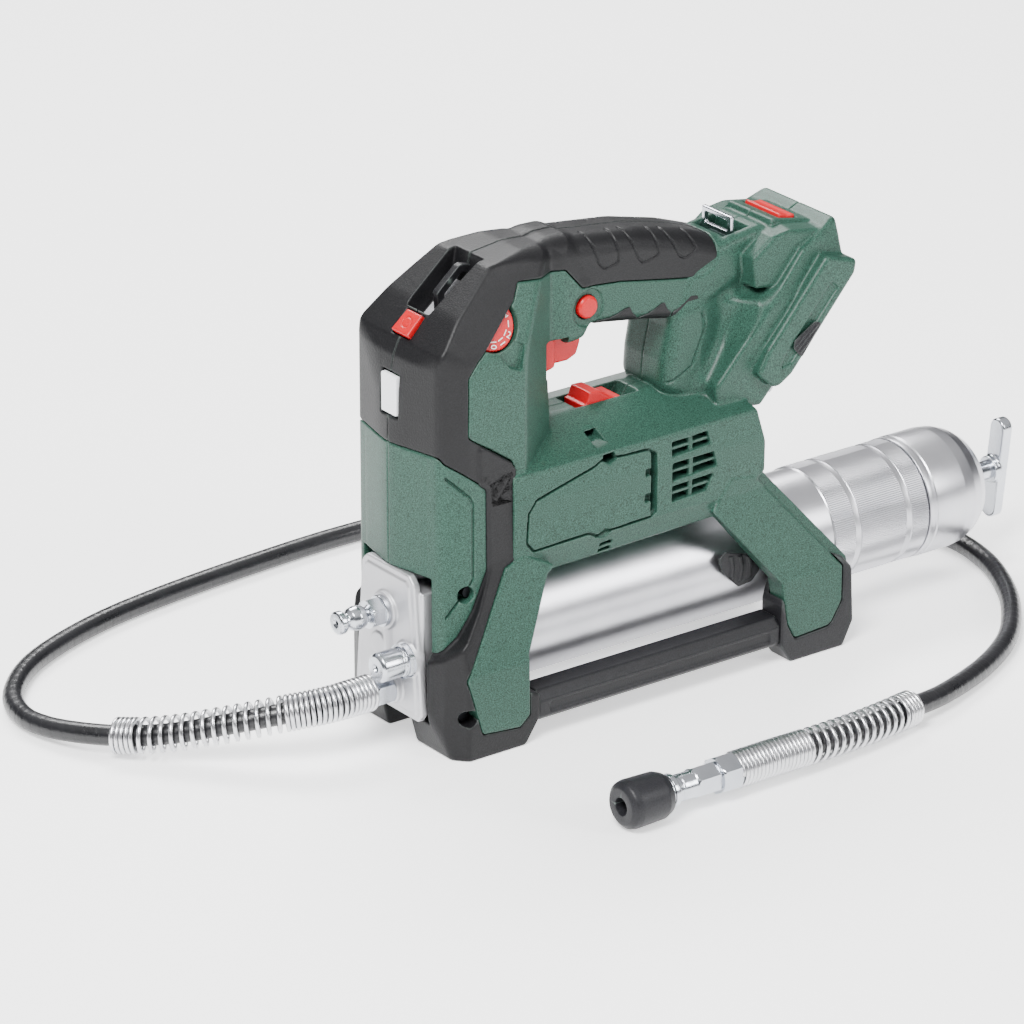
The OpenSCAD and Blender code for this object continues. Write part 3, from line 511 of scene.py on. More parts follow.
def moulded(name, light, dark, grain, gloss, depth=0.25):
    """Moulded plastic with a spark eroded grain, in millimetres, and a painted highlight that lightens its
    convex edges
    """
    material, tree, shader, where = new_material(name)
    shader.inputs["Specular IOR Level"].default_value = 0.25
    fine = add(tree, "ShaderNodeTexNoise", {"Vector": where},
               {"Scale": 1000 / grain, "Detail": 2.0, "Roughness": 0.6})
    pits = add(tree, "ShaderNodeTexVoronoi", {"Vector": where}, {"Scale": 1000 / (1.3 * grain)})
    broad = add(tree, "ShaderNodeTexNoise", {"Vector": where}, {"Scale": 18.0, "Detail": 4.0})
    speck = add(tree, "ShaderNodeMapRange", {"Value": fine.outputs["Fac"]},
                {"From Min": 0.3, "From Max": 0.7})
    tone = blend(tree, speck.outputs[0], dark, light)
    # Painted highlight: convex edges (high pointiness) are mixed up to 28% towards pale grey-green,
    # standing in for light catching the edges
    edge_geometry = add(tree, "ShaderNodeNewGeometry")
    edge = add(tree, "ShaderNodeMapRange", {"Value": edge_geometry.outputs["Pointiness"]},
               {"From Min": 0.53, "From Max": 0.66, "To Max": 0.28})
    painted_edge_highlight = add(tree, "ShaderNodeMix", {0: edge.outputs[0], 6: tone.outputs[2]}, data_type="RGBA")
    painted_edge_highlight.inputs[7].default_value = colour("9fb0a8")
    relief = add(tree, "ShaderNodeMath", {0: fine.outputs["Fac"], 1: pits.outputs["Distance"]},
                 operation="ADD")
    bump = add(tree, "ShaderNodeBump", {"Height": relief.outputs[0]},
               {"Strength": depth, "Distance": 0.0002})
    rough = add(tree, "ShaderNodeMapRange", {"Value": broad.outputs["Fac"]},
                {"To Min": gloss - 0.05, "To Max": gloss + 0.07})
    finish(tree, shader, painted_edge_highlight, rough, bump)
    return material


# Glass filled nylon 6 in a muted dark green: the glass shows as pale specks, about
# 0.5 mm apart, in a fine spark eroded skin
green_nylon = moulded("spark_grained_green_nylon", "34584b", "0c2119", 0.55, 0.4)

BARREL_Z = 44.5
GRIP_HW, BODY_HW, LEG_HW, LEG_T = 17, 38.6, 45, 12
COVER_T = 3.0
FOOT_SCREW = (14.5, 21.5)
COLUMN_SIDE = [(0, 30), (0, 143), (1.2, 171, 2), (4.2, 189, 8), (7.6, 196, 6), (20.4, 210, 30),
               (43.3, 228, 6), (64, 230.6, 20), (92, 229.6, 1), (103, 206, 8), (98.6, 181, 3),
               (80.5, 179.6, 3), (77.2, 171, 3), (79, 155, 10), (80, 143, 1), (80, 30)]
COLUMN_PLAN = [(0, -5), (0, 0, 60), (6.6, 31.5, 5.5), (21, 36, 14), (52, 36, 2.5), (80, 17, 7), (110, 17),
               (110, -5)]
COLUMN_FRONT = [(-5, 25), (36.2, 25), (36.2, 176, 40), (34.5, 192, 25), (24, 219, 14), (15, 240), (-5, 240)]
HANDLE_TOP = [(80, 229.9), (92, 229.6, 30), (132, 224.8, 40), (160, 218, 40), (184, 209.5, 20), (194, 206),
              (196, 150), (80, 150)]
HANDLE_FOOT = [(80, 260), (80, 179.6), (94, 180), (99, 181, 4), (105.5, 185, 5), (112, 184.2, 20),
               (135, 180.6, 40), (150, 177.6, 30), (162, 176.4, 20), (176, 181), (196, 190), (196, 260)]
COVER_REGION = [(-10, 147), (7, 147.8), (9.5, 144.3), (17.8, 138.4), (26.2, 131.9), (30.3, 128.5, 2),
                (30.7, 118), (46.4, 118), (45.9, 134.4, 3), (44.1, 138.7, 2), (30.1, 148.5),
                (20.3, 155.3, 4), (20.8, 184, 5), (26.5, 190.5, 4), (34, 196), (52.3, 211.9, 1),
                (56.5, 219.2, 2), (80.4, 216.8), (87.7, 216.1, 2.5), (97.5, 205.1, 3), (120.4, 202.9, 20),
                (143.6, 198.6), (167.1, 194.5, 6), (174.1, 197.2, 4), (177, 201.5, 4), (176.5, 211),
                (190, 240), (-10, 240)]
BUMPER_SIDE = [(26, 149), (26.2, 131.9), (30.3, 128.5, 2), (30.6, 88.9, 5), (22.6, 71.1), (14.7, 58.3),
               (0, 44.7), (0.5, 28), (8, 0, 2), (46, 0, 3), (54, 12, 2), (54, 24, 2), (48, 26, 2),
               (48, 44, 8), (46.4, 76), (45.9, 134.4, 3), (44.1, 138.7, 2), (30, 148.6)]
PANEL_SIDE = [(-5, 143.6), (7, 147.5), (9.5, 144.3), (17.8, 138.4), (26.2, 131.9), (30.2, 128.5, 2),
              (30.6, 88.9, 5), (22.6, 71.1), (14.7, 58.3), (-5, 40.2)]
BODY_SIDE = [(44, 84), (66, 78, 2), (163, 81, 2), (178, 90, 2), (190, 99, 3), (190, 114, 3), (185, 133, 5),
             (172, 143.2, 4), (44, 143.2)]
BODY_SECTION = [(-5, 143.2), (6.4, 143.2, 1.5), (37.6, 131, 2), (38.6, 116, 20), (38, 92, 2.5), (33, 78, 2),
                (-5, 78)]
NECK_SIDE = [(153, 182, 10), (160, 200, 10), (184, 209.5), (203, 212), (230, 200), (190, 148), (180, 128),
             (158, 136), (147.5, 143.2, 6), (148.5, 156, 6), (152, 172, 10)]
NECK_PLAN = [(130, -5), (140, 12), (152, 15.5, 3), (170, 15.5), (182, 13, 6), (193, 28, 2), (230, 28),
             (230, -5)]
HEAD_SIDE = [(192, 185), (190, 201, 3), (202, 209.6, 2), (213, 211, 10), (240, 206.4, 3), (242.5, 202, 2),
             (242, 197, 2), (225, 180)]
LEG_REAR = [(158.4, 86), (196.4, 41.4, 2), (200, 20, 1), (204.4, 11.8, 2), (226, 13, 5), (233, 24, 5),
            (233, 42, 2), (184, 98, 1), (170, 100)]
LEG_BACK = [(170, 90), (200, 40), (210, 24), (229, 20), (238, 27, 3), (238.4, 44, 2), (189.5, 99.5, 2),
            (184, 100)]
LEG_FRONT = [(50, 92), (67, 83), (62, 80, 3), (48, 45, 2), (48.4, 15, 2), (42.6, 10, 2), (21.6, 12, 2),
             (13.2, 40.5, 3), (39, 88, 2)]
LEG_LEAN = [(-5, -5), (45, -5), (45, 42, 12), (38.3, 91, 2), (38.3, 130), (-5, 130)]
BLACK_FRONT = [(45, -5), (45, 40, 8), (37, 92, 4), (36.4, 150), (26, 150), (26, 30), (10.5, 18), (10.5, -5)]
BLACK_PLAN = [(1, 10), (1, 24), (6, 36, 5), (14, 45, 4), (60, 45), (60, 10)]
COLLAR_SIDE = [(203, 200), (209, 213.8, 2), (231, 209.2, 2), (236, 200)]
# The battery plate and its rim, as distances down the rails and in from the open face
PLATE_SIDE = [(-24, 20.5), (-9, 4, 5), (-9, 0, 2), (70, 0), (84, 22), (76, 30, 6), (0, 30, 4)]
PLATE_FACE = [(-30, -5), (-30, 24, 8), (-8, 30, 6), (30, 31.5), (90, 29), (90, -5)]
RIM_SIDE = [(-12, 3, 3), (-6, -0.3, 3), (50, -0.3, 7), (60.5, 3, 6), (60.5, 18, 4), (48, 20.5, 3),
            (-4, 20.5, 3)]
MOUNT_O, MOUNT_TILT = (239.5, 181), math.radians(41)


def mount_axes(m):
    """Distance down the battery rails, and depth in from the open face"""
    dx, dz = m.x - MOUNT_O[0], m.z - MOUNT_O[1]
    s, c = math.sin(MOUNT_TILT), math.cos(MOUNT_TILT)
    return -dx * s - dz * c, -dx * c + dz * s


def column_shape(m, w, inset=0.0):
    wall = both(1.6, outline(rounded(COLUMN_PLAN, 3, 6), m.x, w) + inset,
                outline(rounded(COLUMN_FRONT, 3, 6), w, m.z) + inset)
    top_edge = 1.6 + 7.5 * np.clip((m.x - 50) / 30, 0, 1) * np.clip((m.z - 195) / 15, 0, 1)
    return both(top_edge, outline(rounded(COLUMN_SIDE, 3), m.x, m.z) + inset, wall)


def handle_shape(m, w, inset=0.0):
    top = outline(rounded(HANDLE_TOP, 4, 6), m.x, m.z) + inset
    below = outline(rounded(HANDLE_FOOT, 4, 6), m.x, m.z) + inset
    width = w - GRIP_HW + inset
    return np.maximum(both(9.5, top, width), both(5.5, below, width))


def grip_shape(m, w, inset=0.0):
    return join(5, column_shape(m, w, inset), handle_shape(m, w, inset))


def mount_shape(m, w):
    run, depth = mount_axes(m)
    side = outline(rounded(NECK_SIDE, 4), m.x, m.z)
    goose = both(5, side, w - 17.2 + 5 * np.clip((m.x - 166) / 12, 0, 1) * np.clip((192 - m.z) / 12, 0, 1))
    flare = both(3, side, outline(rounded(NECK_PLAN, 3), m.x, w), m.z - 180)
    plate = both(2.0, outline(rounded(PLATE_SIDE, 3), run, depth), outline(rounded(PLATE_FACE, 2), run, w))
    rim = both(2.2, outline(rounded(RIM_SIDE, 2), run, depth), w - 36.6)
    head = both(2.2, outline(rounded(HEAD_SIDE, 3, 6), m.x, m.z) + 0.0016 * w ** 2 - 0.4, w - 26.5)
    collar = both(1.6, outline(rounded(COLLAR_SIDE, 1), m.x, m.z), w - 17)
    return join(1.2, join(8, join(8, goose, flare), plate), rim, head, collar)


def body_shape(m, w):
    return both(1.2, outline(rounded(BODY_SIDE, 2), m.x, m.z), outline(rounded(BODY_SECTION, 2), w, m.z))


def leg_shapes(m, w):
    lean = outline(rounded(LEG_LEAN, 2, 6), w, m.z)
    inner = LEG_HW - LEG_T - w
    rear = both(1.0, outline(rounded(LEG_REAR, 2), m.x, m.z), lean, inner)
    back = both(1.0, outline(rounded(LEG_BACK, 2), m.x, m.z), lean + 3.4, inner)
    front = both(0.9, outline(rounded(LEG_FRONT, 2), m.x, m.z), lean, inner)
    return rear, back, front


def black_shape(m, w):
    """Outer skin of the soft cap, of the band below it and of the front foot"""
    lean = outline(rounded(BLACK_FRONT, 2), w, m.z)
    plan = outline(rounded(BLACK_PLAN, 2), m.x, w)
    return both(1.2, lean, plan, outline(rounded(BUMPER_SIDE, 2), m.x, m.z))


half = Mould((0, -46, 9), (244, 0, 231), FINE)
side_w = -half.y
PARTING = 0.08
seam = half.y + PARTING                        # each half stops just short of the centre line
cover_line = outline(rounded(COVER_REGION, 2), half.x, half.z)
bumper_line = outline(rounded(BUMPER_SIDE, 2), half.x, half.z)
SEAM_GAP = 0.28
run, depth = mount_axes(half)
grip_out = grip_shape(half, side_w)
grip_in = grip_shape(half, side_w, COVER_T)
panel_line = outline(rounded(PANEL_SIDE, 2), half.x, half.z)
column_green = both(0.7, grip_out, -cover_line + SEAM_GAP, -bumper_line + SEAM_GAP, 80 - half.z)
panel = both(0.7, column_shape(half, side_w), panel_line + SEAM_GAP)
rear_leg, leg_back, front_leg = leg_shapes(half, side_w)
shell = join(1.6, column_green, body_shape(half, side_w), mount_shape(half, side_w))
shell = join(0.8, np.minimum(shell, panel), join(1.0, rear_leg, leg_back), front_leg)
core = both(0.5, np.minimum(grip_in, column_shape(half, side_w, COVER_T)), 34 - half.z)
shell = np.minimum(shell, core + 0.4)

# Details cut into each half. Each is a space to take away, placed in millimetres; w is the
# distance out from the centre line
LOCK_AT, LOCK_R = (101, 194.6), 5.5
WHEEL_AT, WHEEL_R, WHEEL_LEAN = (39, 27.8, 203.8), 12.4, math.radians(21)
RELEASE_AT, RELEASE_TILT = (220.5, 210.2), math.radians(-13)
LAMP_AT, LAMP_TILT = (12.6, 202), math.radians(42)
TRIGGER_AT = (80, 185)
x, w, z = half.x, side_w, half.z


def box_cut(x0, x1, w0, w1, z0, z1, r=0.0):
    cutter = np.maximum(np.maximum(between(x, x0 + r, x1 - r), between(w, w0 + r, w1 - r)),
                        between(z, z0 + r, z1 - r))
    return cutter - r


def tilted(m, at, tilt):
    """Distance along a sloping face in the side view, and height above it"""
    dx, dz = m.x - at[0], m.z - at[1]
    return dx * math.cos(tilt) + dz * math.sin(tilt), -dx * math.sin(tilt) + dz * math.cos(tilt)


MOTOR_Z, MOTOR_BAY_R = 109, 24.3
pockets = [
    np.maximum(rod(w, z, (0, MOTOR_Z), MOTOR_BAY_R), between(x, 46, 84)),
    np.maximum(rod(w, z, (0, MOTOR_Z), MOTOR_BAY_R), between(x, 83, 176)),
    box_cut(6, 47, -2, 24, 70, 150), box_cut(-1, 35, -2, 26.3, 10, 87.3),
    box_cut(14, 54, -2, 26, 149, 196), box_cut(53, 74, -2, 12, 149, 196), box_cut(73, 92, -2, 12, 186, 212),
    box_cut(91, 150, -2, 11, 193, 210),
]
tunnel = np.maximum(rod(w, z, (0, BARREL_Z), 30.6), between(x, 34.5, 260))
button_run, button_rise = tilted(half, RELEASE_AT, RELEASE_TILT)
release_well = np.maximum(np.maximum(np.abs(button_run) - 5.6, w - 13.6), between(button_rise, -9, 6))
slot = np.maximum(np.maximum(between(run, 8, 70), w - 27), between(depth, -8, 12))
rail_groove = both(0.8, outline(rounded([(4, 4), (46, 4), (52, 8), (46, 10), (4, 10)], 2), run, depth),
                   -(w - 35.4))
lamp_run, lamp_rise = tilted(half, LAMP_AT, LAMP_TILT)
lamp_well = np.maximum(np.maximum(np.abs(lamp_run) - 6.4, w - 6.8), between(lamp_rise, -6, 8))
eye_line = outline(rounded([(22, 221), (17.5, 204), (24, 199), (43.5, 214), (49, 236), (28, 240)], 1.5), x,
                   z)
eye_well = both(1.0, eye_line, w - 10.4 + 0.1 * (225 - z))
eye_lining = np.maximum(eye_line - 2.6, w - 13.4)
lamp_lining = np.maximum(np.maximum(np.abs(lamp_run) - 8.2, w - 8.6), between(lamp_rise, -8, 8))
lens_well = box_cut(-2, 12, -2, 6.6, 160, 181)
trigger_well = np.minimum(box_cut(72, 104.8, -2, 11.2, 160, 190), box_cut(70, 90, -2, 13.8, 162, 190, 2))
trigger_well = np.minimum(trigger_well, box_cut(75.8, 90, -2, 20, 165.4, 183, 0.8))
lock_hole = np.maximum(rod(x, z, LOCK_AT, LOCK_R + 0.25), -w)
lock_dish = np.maximum(rod(x, z, LOCK_AT, 9.2), -(w - GRIP_HW + 0.9))
selector_well = np.maximum(outline(rounded([(98, 147), (104.5, 137.5), (134, 137.5), (140, 147)], 1), x, z),
                           w - 7.8)
strap_well = np.maximum(outline(rounded([(183, 222), (183.5, 206), (197, 203), (200, 218)], 2), x, z),
                        w - 11.6)


def side_cut(points, deep, r=1.0):
    return np.maximum(outline(rounded(points, r), x, z), BODY_HW - deep - w)


# Grille: three rows, each with a bar down its middle and a short upright
windows = [[(134.7, 119.4), (157.4, 120.6), (155.7, 127.3), (134.6, 126.6)],
           [(134.9, 107.2), (161.2, 108.7), (158.9, 116.7), (134.8, 116.1)],
           [(135, 96.7), (155.1, 97.7), (159.1, 105.6), (134.9, 104.6)]]
grille = [side_cut(points, 9, 0.6) for points in windows]
slats = [np.maximum(np.abs(z - level - 0.03 * (x - 135)) - 0.8, between(x, 134, 162))
         for level in (123, 111.8, 100.8)]
posts = np.maximum(between(x, 145.2, 147.6), between(z, 96.4, 127.5))
plate_line = outline(rounded([(56.4, 117.3), (89.5, 125.4, 2), (93.5, 127.4), (96.9, 127.5), (121.2, 126.5),
                              (125.3, 123.5), (125.7, 94.4), (122.8, 92.6), (97.2, 91.6), (92.6, 90.3),
                              (86.8, 93.2), (55.3, 92.3), (51.4, 96.8), (51.9, 111.5)], 0.9), x, z)
toothed = side_cut([(122.6, 93.4), (126, 95), (126, 123), (122.6, 124.8), (122.4, 117.1), (119, 117.1),
                    (119, 113.6), (122.4, 113.6), (122.4, 104.6), (119, 104.6), (119, 100.5),
                    (122.4, 100.5)], 6, 0.3)
notch = side_cut([(90, 90.2), (96, 93.6), (101, 91.2), (96, 88.8)], 2.4, 0.5)
slits = [np.maximum(outline(points, x, z), 14 - w)
         for points in ([(94.2, 132.4), (101.2, 133), (101.8, 136.8), (95, 136.3)],
                        [(94.8, 127), (98.6, 124.6), (103, 126.2), (101.4, 130.2), (95, 129.8)])]
low_slits = [np.maximum(outline([(a, b), (a + 7, b + 0.4), (a + 6.6, b + 2), (a, b + 1.6)], x, z), 30 - w)
             for a, b in ((95, 83.8), (95, 80.4))]
panel_groove = outline(rounded([(8.4, 138.8), (20.6, 126.9), (22.8, 123, 3), (22.7, 86, 4), (6.9, 65.4),
                                (-20, 40), (-20, 160)], 2), x, z)
panel_step = np.maximum(np.maximum(np.abs(panel_groove) - 0.6, 9.5 - x), -column_shape(half, side_w) - 1.6)
panel_screw = np.maximum(rod(x, z, (19, 79), 4.1), 28 - w)
wheel_away = (w - WHEEL_AT[1]) * math.cos(WHEEL_LEAN) + (z - WHEEL_AT[2]) * math.sin(WHEEL_LEAN)
wheel_rise = (z - WHEEL_AT[2]) * math.cos(WHEEL_LEAN) - (w - WHEEL_AT[1]) * math.sin(WHEEL_LEAN)
wheel_round = np.hypot(x - WHEEL_AT[0], wheel_rise) - WHEEL_R - 0.5
window_line = ((z - 196) * 17.3 - (x - 34) * 15) / 22.9
wheel_slot = np.maximum(wheel_round, between(wheel_away, -6.5, 0.4))
wheel_window = np.maximum(np.maximum(wheel_round, between(wheel_away, -6.5, 12)), window_line)
dial_notch = np.maximum(outline(rounded([(38.5, 191), (47.5, 195.5), (53, 193), (50.5, 181), (44, 184)],
                                        1.2), x, z), 32.6 - w)
neck_line = outline(rounded([(120, 100), (120, 146), (149, 146.5), (161, 152.3, 2), (169.6, 171.7, 2),
                             (166.5, 178.4, 2), (160, 196, 2), (140, 196), (100, 196)], 1), x, z)
neck_reach = np.maximum(between(z, 145, 178), 148 - x)
neck_groove = np.maximum(np.maximum(np.abs(neck_line) - 0.55, -mount_shape(half, side_w) - 1.1), neck_reach)
body_skin = body_shape(half, side_w)
plate_groove = np.maximum(np.abs(plate_line) - 0.6, -body_skin - 2.4)

carved = cut(0.5, shell, tunnel, *pockets, release_well, slot, rail_groove, lamp_well, lens_well,
             trigger_well, lock_hole, lock_dish, selector_well, strap_well, toothed, notch, *slits,
             *low_slits, panel_screw)
for window in grille:
    carved = cut(0.3, carved, window)
lattice = np.minimum(np.minimum.reduce(np.broadcast_arrays(*slats)), posts)
lattice = np.maximum(lattice, np.maximum(body_skin + 1.2, 31 - w))
carved = np.minimum(carved, np.maximum(lattice, np.minimum.reduce(np.broadcast_arrays(*grille))))
carved = np.maximum(np.maximum(carved, -eye_well), np.maximum(-eye_lining, -lamp_lining))
for line in (panel_step, neck_groove, plate_groove):
    carved = np.maximum(carved, -line)
carved = np.maximum(carved, seam)
wheel_space = np.minimum(wheel_slot, wheel_window)
dialled = cut(0.4, carved, wheel_space, dial_notch)

housing_left = moulding("housing_shell_left", dialled, half, "tool", green_nylon)
stands_for(housing_left, "green_pa", "housing_left")
housing_right = moulding("housing_shell_right", carved, half, "tool", green_nylon, mirrored=True)
stands_for(housing_right, "green_pa", "housing_right")

# ---- Soft covers and bumpers ------------------------------------------------------------
# Charcoal thermoplastic rubber moulded over the shell: the cap and top of the handle, and
# the band that runs down to each front foot, 3 mm thick with ribs for the palm.
soft_rubber = moulded("matt_overmoulded_rubber", "151517", "0a0a0c", 0.7, 0.45, 0.3)
rib_field = np.full((half.shape[0], 1, half.shape[2]), 9.0, np.float32)
for points in ([(102.8, 229), (107.5, 214.8, 2), (111, 211.2, 2), (119, 213, 2), (117.5, 232)],
               [(124.5, 227), (130, 212.7, 2), (132.9, 209.3, 2), (142.2, 211.3, 2), (139.6, 230)],
               [(148, 221), (154, 208.2, 2), (157.3, 206.2, 2), (164.3, 208.8, 2), (158.5, 225)]):
    rib_field = np.minimum(rib_field, outline(rounded(points, 1), x, z))
ribs = np.maximum(np.abs(rib_field) - 0.45, 7 - w)
cap_skin = join(2.0, grip_out, black_shape(half, side_w))
cover = both(0.7, cap_skin, cover_line + SEAM_GAP * 0.4,
             np.minimum(-grip_in, np.minimum(eye_lining, lamp_lining)))
cover = np.maximum(cover, -np.maximum(ribs, -grip_out - 0.7))
cover = cut(0.5, cover, lamp_well, lens_well, eye_well, np.maximum(rod(x, z, LOCK_AT, 9.3), 5 - w))
cover = np.maximum(cover, seam)
cover_left = moulding("handle_cover_left", cut(0.4, cover, wheel_space), half, "tool", soft_rubber)
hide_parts("grip_cover_left")
cover_right = moulding("handle_cover_right", cover, half, "tool", soft_rubber, mirrored=True)
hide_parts("grip_cover_right")

foot = Mould((0, -46, 0), (56, -8, 145), FINE)
foot_w = -foot.y
leg_space = outline(rounded(LEG_FRONT, 2), foot.x, foot.z)
bumper = join(2.0, black_shape(foot, foot_w), np.maximum(column_shape(foot, foot_w),
                                                         outline(rounded(BUMPER_SIDE, 2), foot.x, foot.z)))
bumper = np.maximum(bumper, -np.maximum(leg_space - 0.3, LEG_HW - LEG_T - 0.3 - foot_w))
inner = np.maximum(np.maximum(foot_w - 26.6, between(foot.z, 15.5, 90)), foot.x - 35)
bumper = cut(0.5, bumper, np.maximum(rod(foot.x, foot.z, FOOT_SCREW, 4.2), 30 - foot_w),
             np.maximum(rod(foot_w, foot.z, (0, BARREL_Z), 31), between(foot.x, 34.5, 260)), inner)
bumper = np.maximum(bumper, foot.z - 136)
for name, flip in (("left", False), ("right", True)):
    thing = moulding("bumper_band_" + name, bumper, foot, "tool", soft_rubber, mirrored=flip)
    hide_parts("bumper_" + name)

# ---- Finger inserts ------------------------------------------------------------------------
# Three waves of the same soft rubber wrap the underside of the handle for the fingers.
under = Mould((103, -19, 172), (169, 19, 192), 0.5)
wave_points = [[(107, 174), (107.1, 186.6, 1), (114, 186.5, 4), (122.7, 189.4, 2), (125.5, 189.6, 1),
                (126.7, 186.5, 1), (131, 182.5, 1), (131, 174)],
               [(131.8, 174), (131.8, 182.5, 1), (137.2, 184.1, 4), (145.3, 187.7, 1.5), (147.1, 183.8, 1),
                (149.8, 181.2, 1), (149.8, 172)], [(150.6, 172), (150.6, 181.2, 1), (154.7, 183.1, 4),
                                                   (160.5, 187.2, 1.5), (164.7, 186.8, 1.5),
                                                   (165.9, 183.5, 1), (164.8, 172)], ]
wave = np.minimum.reduce([outline(rounded(points, 1), under.x, under.z) for points in wave_points])
handle_under = handle_shape(under, np.abs(under.y))
inserts = both(0.5, handle_under - 0.7, wave, -handle_under - 2.0)
finger_inserts = moulding("finger_inserts", inserts, under, "tool", soft_rubber, 0.35)
stands_for(finger_inserts, "soft_black", "finger_inserts")

# ---- Skids and rear feet --------------------------------------------------------------------
# Two extruded rails of hard black nylon keep the barrel off the floor; each ends in a
# moulded foot that clips round the rear leg.
hard_nylon = moulded("hard_black_nylon", "1f1f22", "101012", 0.6, 0.4, 0.2)
rail = Mould((52, -46, 8), (198, -28, 26), 0.8)
rail_w = -rail.y
rail_section = rounded([(29.5, 9.6), (42.5, 9.6), (44, 11.5), (44, 19.5), (40.5, 24), (29.5, 24)], 0.6)
skid = both(0.7, outline(rail_section, rail_w, rail.z), between(rail.x, 54, 196))
skid = cut(0.4, skid, both(0.5, outline(rounded([(60, 13), (190, 13), (190, 18), (60, 18)], 1.5), rail.x,
                                        rail.z), 43.2 - rail_w))
heel = Mould((194, -46, -1), (242, -28, 52), 0.8)
heel_w = -heel.y
heel_side = outline(rounded([(196, 9), (202, 0, 1.5), (234, 0, 2), (240, 12, 2), (238.6, 40, 2),
                             (233, 46.5), (226, 50), (200, 44), (196, 30)], 1.5), heel.x, heel.z)
heel_leg = np.maximum(outline(rounded(LEG_REAR, 2), heel.x, heel.z) - 0.3, LEG_HW - LEG_T - heel_w)
heel_back = np.maximum(outline(rounded(LEG_BACK, 2), heel.x, heel.z) - 0.3,
                       np.maximum(outline(rounded(LEG_LEAN, 2, 6), heel_w, heel.z) + 3.1,
                                  LEG_HW - LEG_T - heel_w))
heel_shape = both(1.0, heel_side, between(heel_w, 29.5, 45.2))
heel_shape = cut(0.3, heel_shape, heel_leg, heel_back, rod(heel_w, heel.z, (0, BARREL_Z), 30.4))
for name, flip in (("left", False), ("right", True)):
    thing = moulding("skid_" + name, skid, rail, "tool", hard_nylon, mirrored=flip)
    stands_for(thing, "soft_black", "skid_rail_" + name)
    thing = moulding("heel_" + name, heel_shape, heel, "tool", hard_nylon, mirrored=flip)
    stands_for(thing, "soft_black", "rear_foot_" + name)

# ---- Turned metal ------------------------------------------------------------------------------
# What is drawn, cast or turned: a finish with tool marks that run the way the metal was
# worked, and the lathe that makes each round part from half of its section.


def metal(name, light, dark, gloss, stretch, lift):
    """Bare metal with tool marks: the pattern is stretched along the way it was worked, in millimetres"""
    material, tree, shader, where = new_material(name)
    drawn = add(tree, "ShaderNodeVectorMath", {0: where}, {1: tuple(1000 / s for s in stretch)},
                operation="MULTIPLY")
    marks = add(tree, "ShaderNodeTexNoise", {"Vector": drawn.outputs[0]},
                {"Scale": 1.0, "Detail": 4.0, "Roughness": 0.6})
    cloud = add(tree, "ShaderNodeTexNoise", {"Vector": where}, {"Scale": 45.0, "Detail": 3.0})
    mixed = add(tree, "ShaderNodeMath", {0: marks.outputs["Fac"], 1: cloud.outputs["Fac"]}, {2: 0.5},
                operation="MULTIPLY_ADD")
    tone = blend(tree, cloud.outputs["Fac"], dark, light)
    rough = add(tree, "ShaderNodeMapRange", {"Value": mixed.outputs[0]},
                {"To Min": gloss - 0.05, "To Max": gloss + 0.09})
    bump = add(tree, "ShaderNodeBump", {"Height": marks.outputs["Fac"]},
               {"Strength": lift, "Distance": 0.0001})
    finish(tree, shader, tone, rough, bump, metallic=1.0)
    return material


def outward(thing, material, body):
    """Turns the faces outward, keeps hard edges hard, gives the finish and the body"""
    tidy = bmesh.new()
    tidy.from_mesh(thing.data)
    bmesh.ops.recalc_face_normals(tidy, faces=tidy.faces)
    tidy.to_mesh(thing.data)
    tidy.free()
    thing.data.set_sharp_from_angle(angle=math.radians(32))
    thing.data.materials.append(material)
    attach(thing, body)
    return thing


def turned(name, profile, centre, material, body, axis="x", sides=72, closed=False, hexes=(), ridges=()):
    """A lathe part: profile points are (place along the axis, radius, corner rounding).
    hexes are (start, end, half the width across flats), ridges (start, end, count, height)"""
    line = rounded(profile, 0.25, 3)
    if not closed:
        line = [p for p in line if p[1] > 1e-3]
    extra = []
    for a, b in zip(line, line[1:] + line[:1]):
        extra.append(a)
        steps = int(abs(b[0] - a[0]) / 4) if hexes else 0
        way = np.array(b) - np.array(a)
        extra += [tuple(np.array(a) + way * k / (steps + 1)) for k in range(1, steps + 1)]
    line = extra if hexes else line
    turn = 2 * math.pi * np.arange(sides) / sides
    rings = []
    for a, r in line:
        radius = np.full(sides, r)
        for low, high, flat in hexes:
            if low - 1e-6 <= a <= high + 1e-6:
                radius = np.minimum(radius,
                                    flat / np.cos((turn + math.pi / 6) % (math.pi / 3) - math.pi / 6))
        for low, high, count, height in ridges:
            if low <= a <= high:
                radius = radius + height * np.abs(2 * ((turn * count / (2 * math.pi)) % 1) - 1)
        ring = np.stack([np.full(sides, a), radius * np.cos(turn), radius * np.sin(turn)], 1)
        rings.append(ring)
    order = {"x": (0, 1, 2), "y": (2, 0, 1)}[axis]
    points = np.concatenate(rings)[:, order] + np.array(centre, float)
    count = len(line)
    loops = count if closed else count - 1
    faces = ring_faces(loops, count, sides)
    if not closed:
        faces += [tuple(range(sides)), tuple(range((count - 1) * sides, count * sides))[::-1]]
    return outward(mesh_object(name, [place(p) for p in points], faces), material, body)


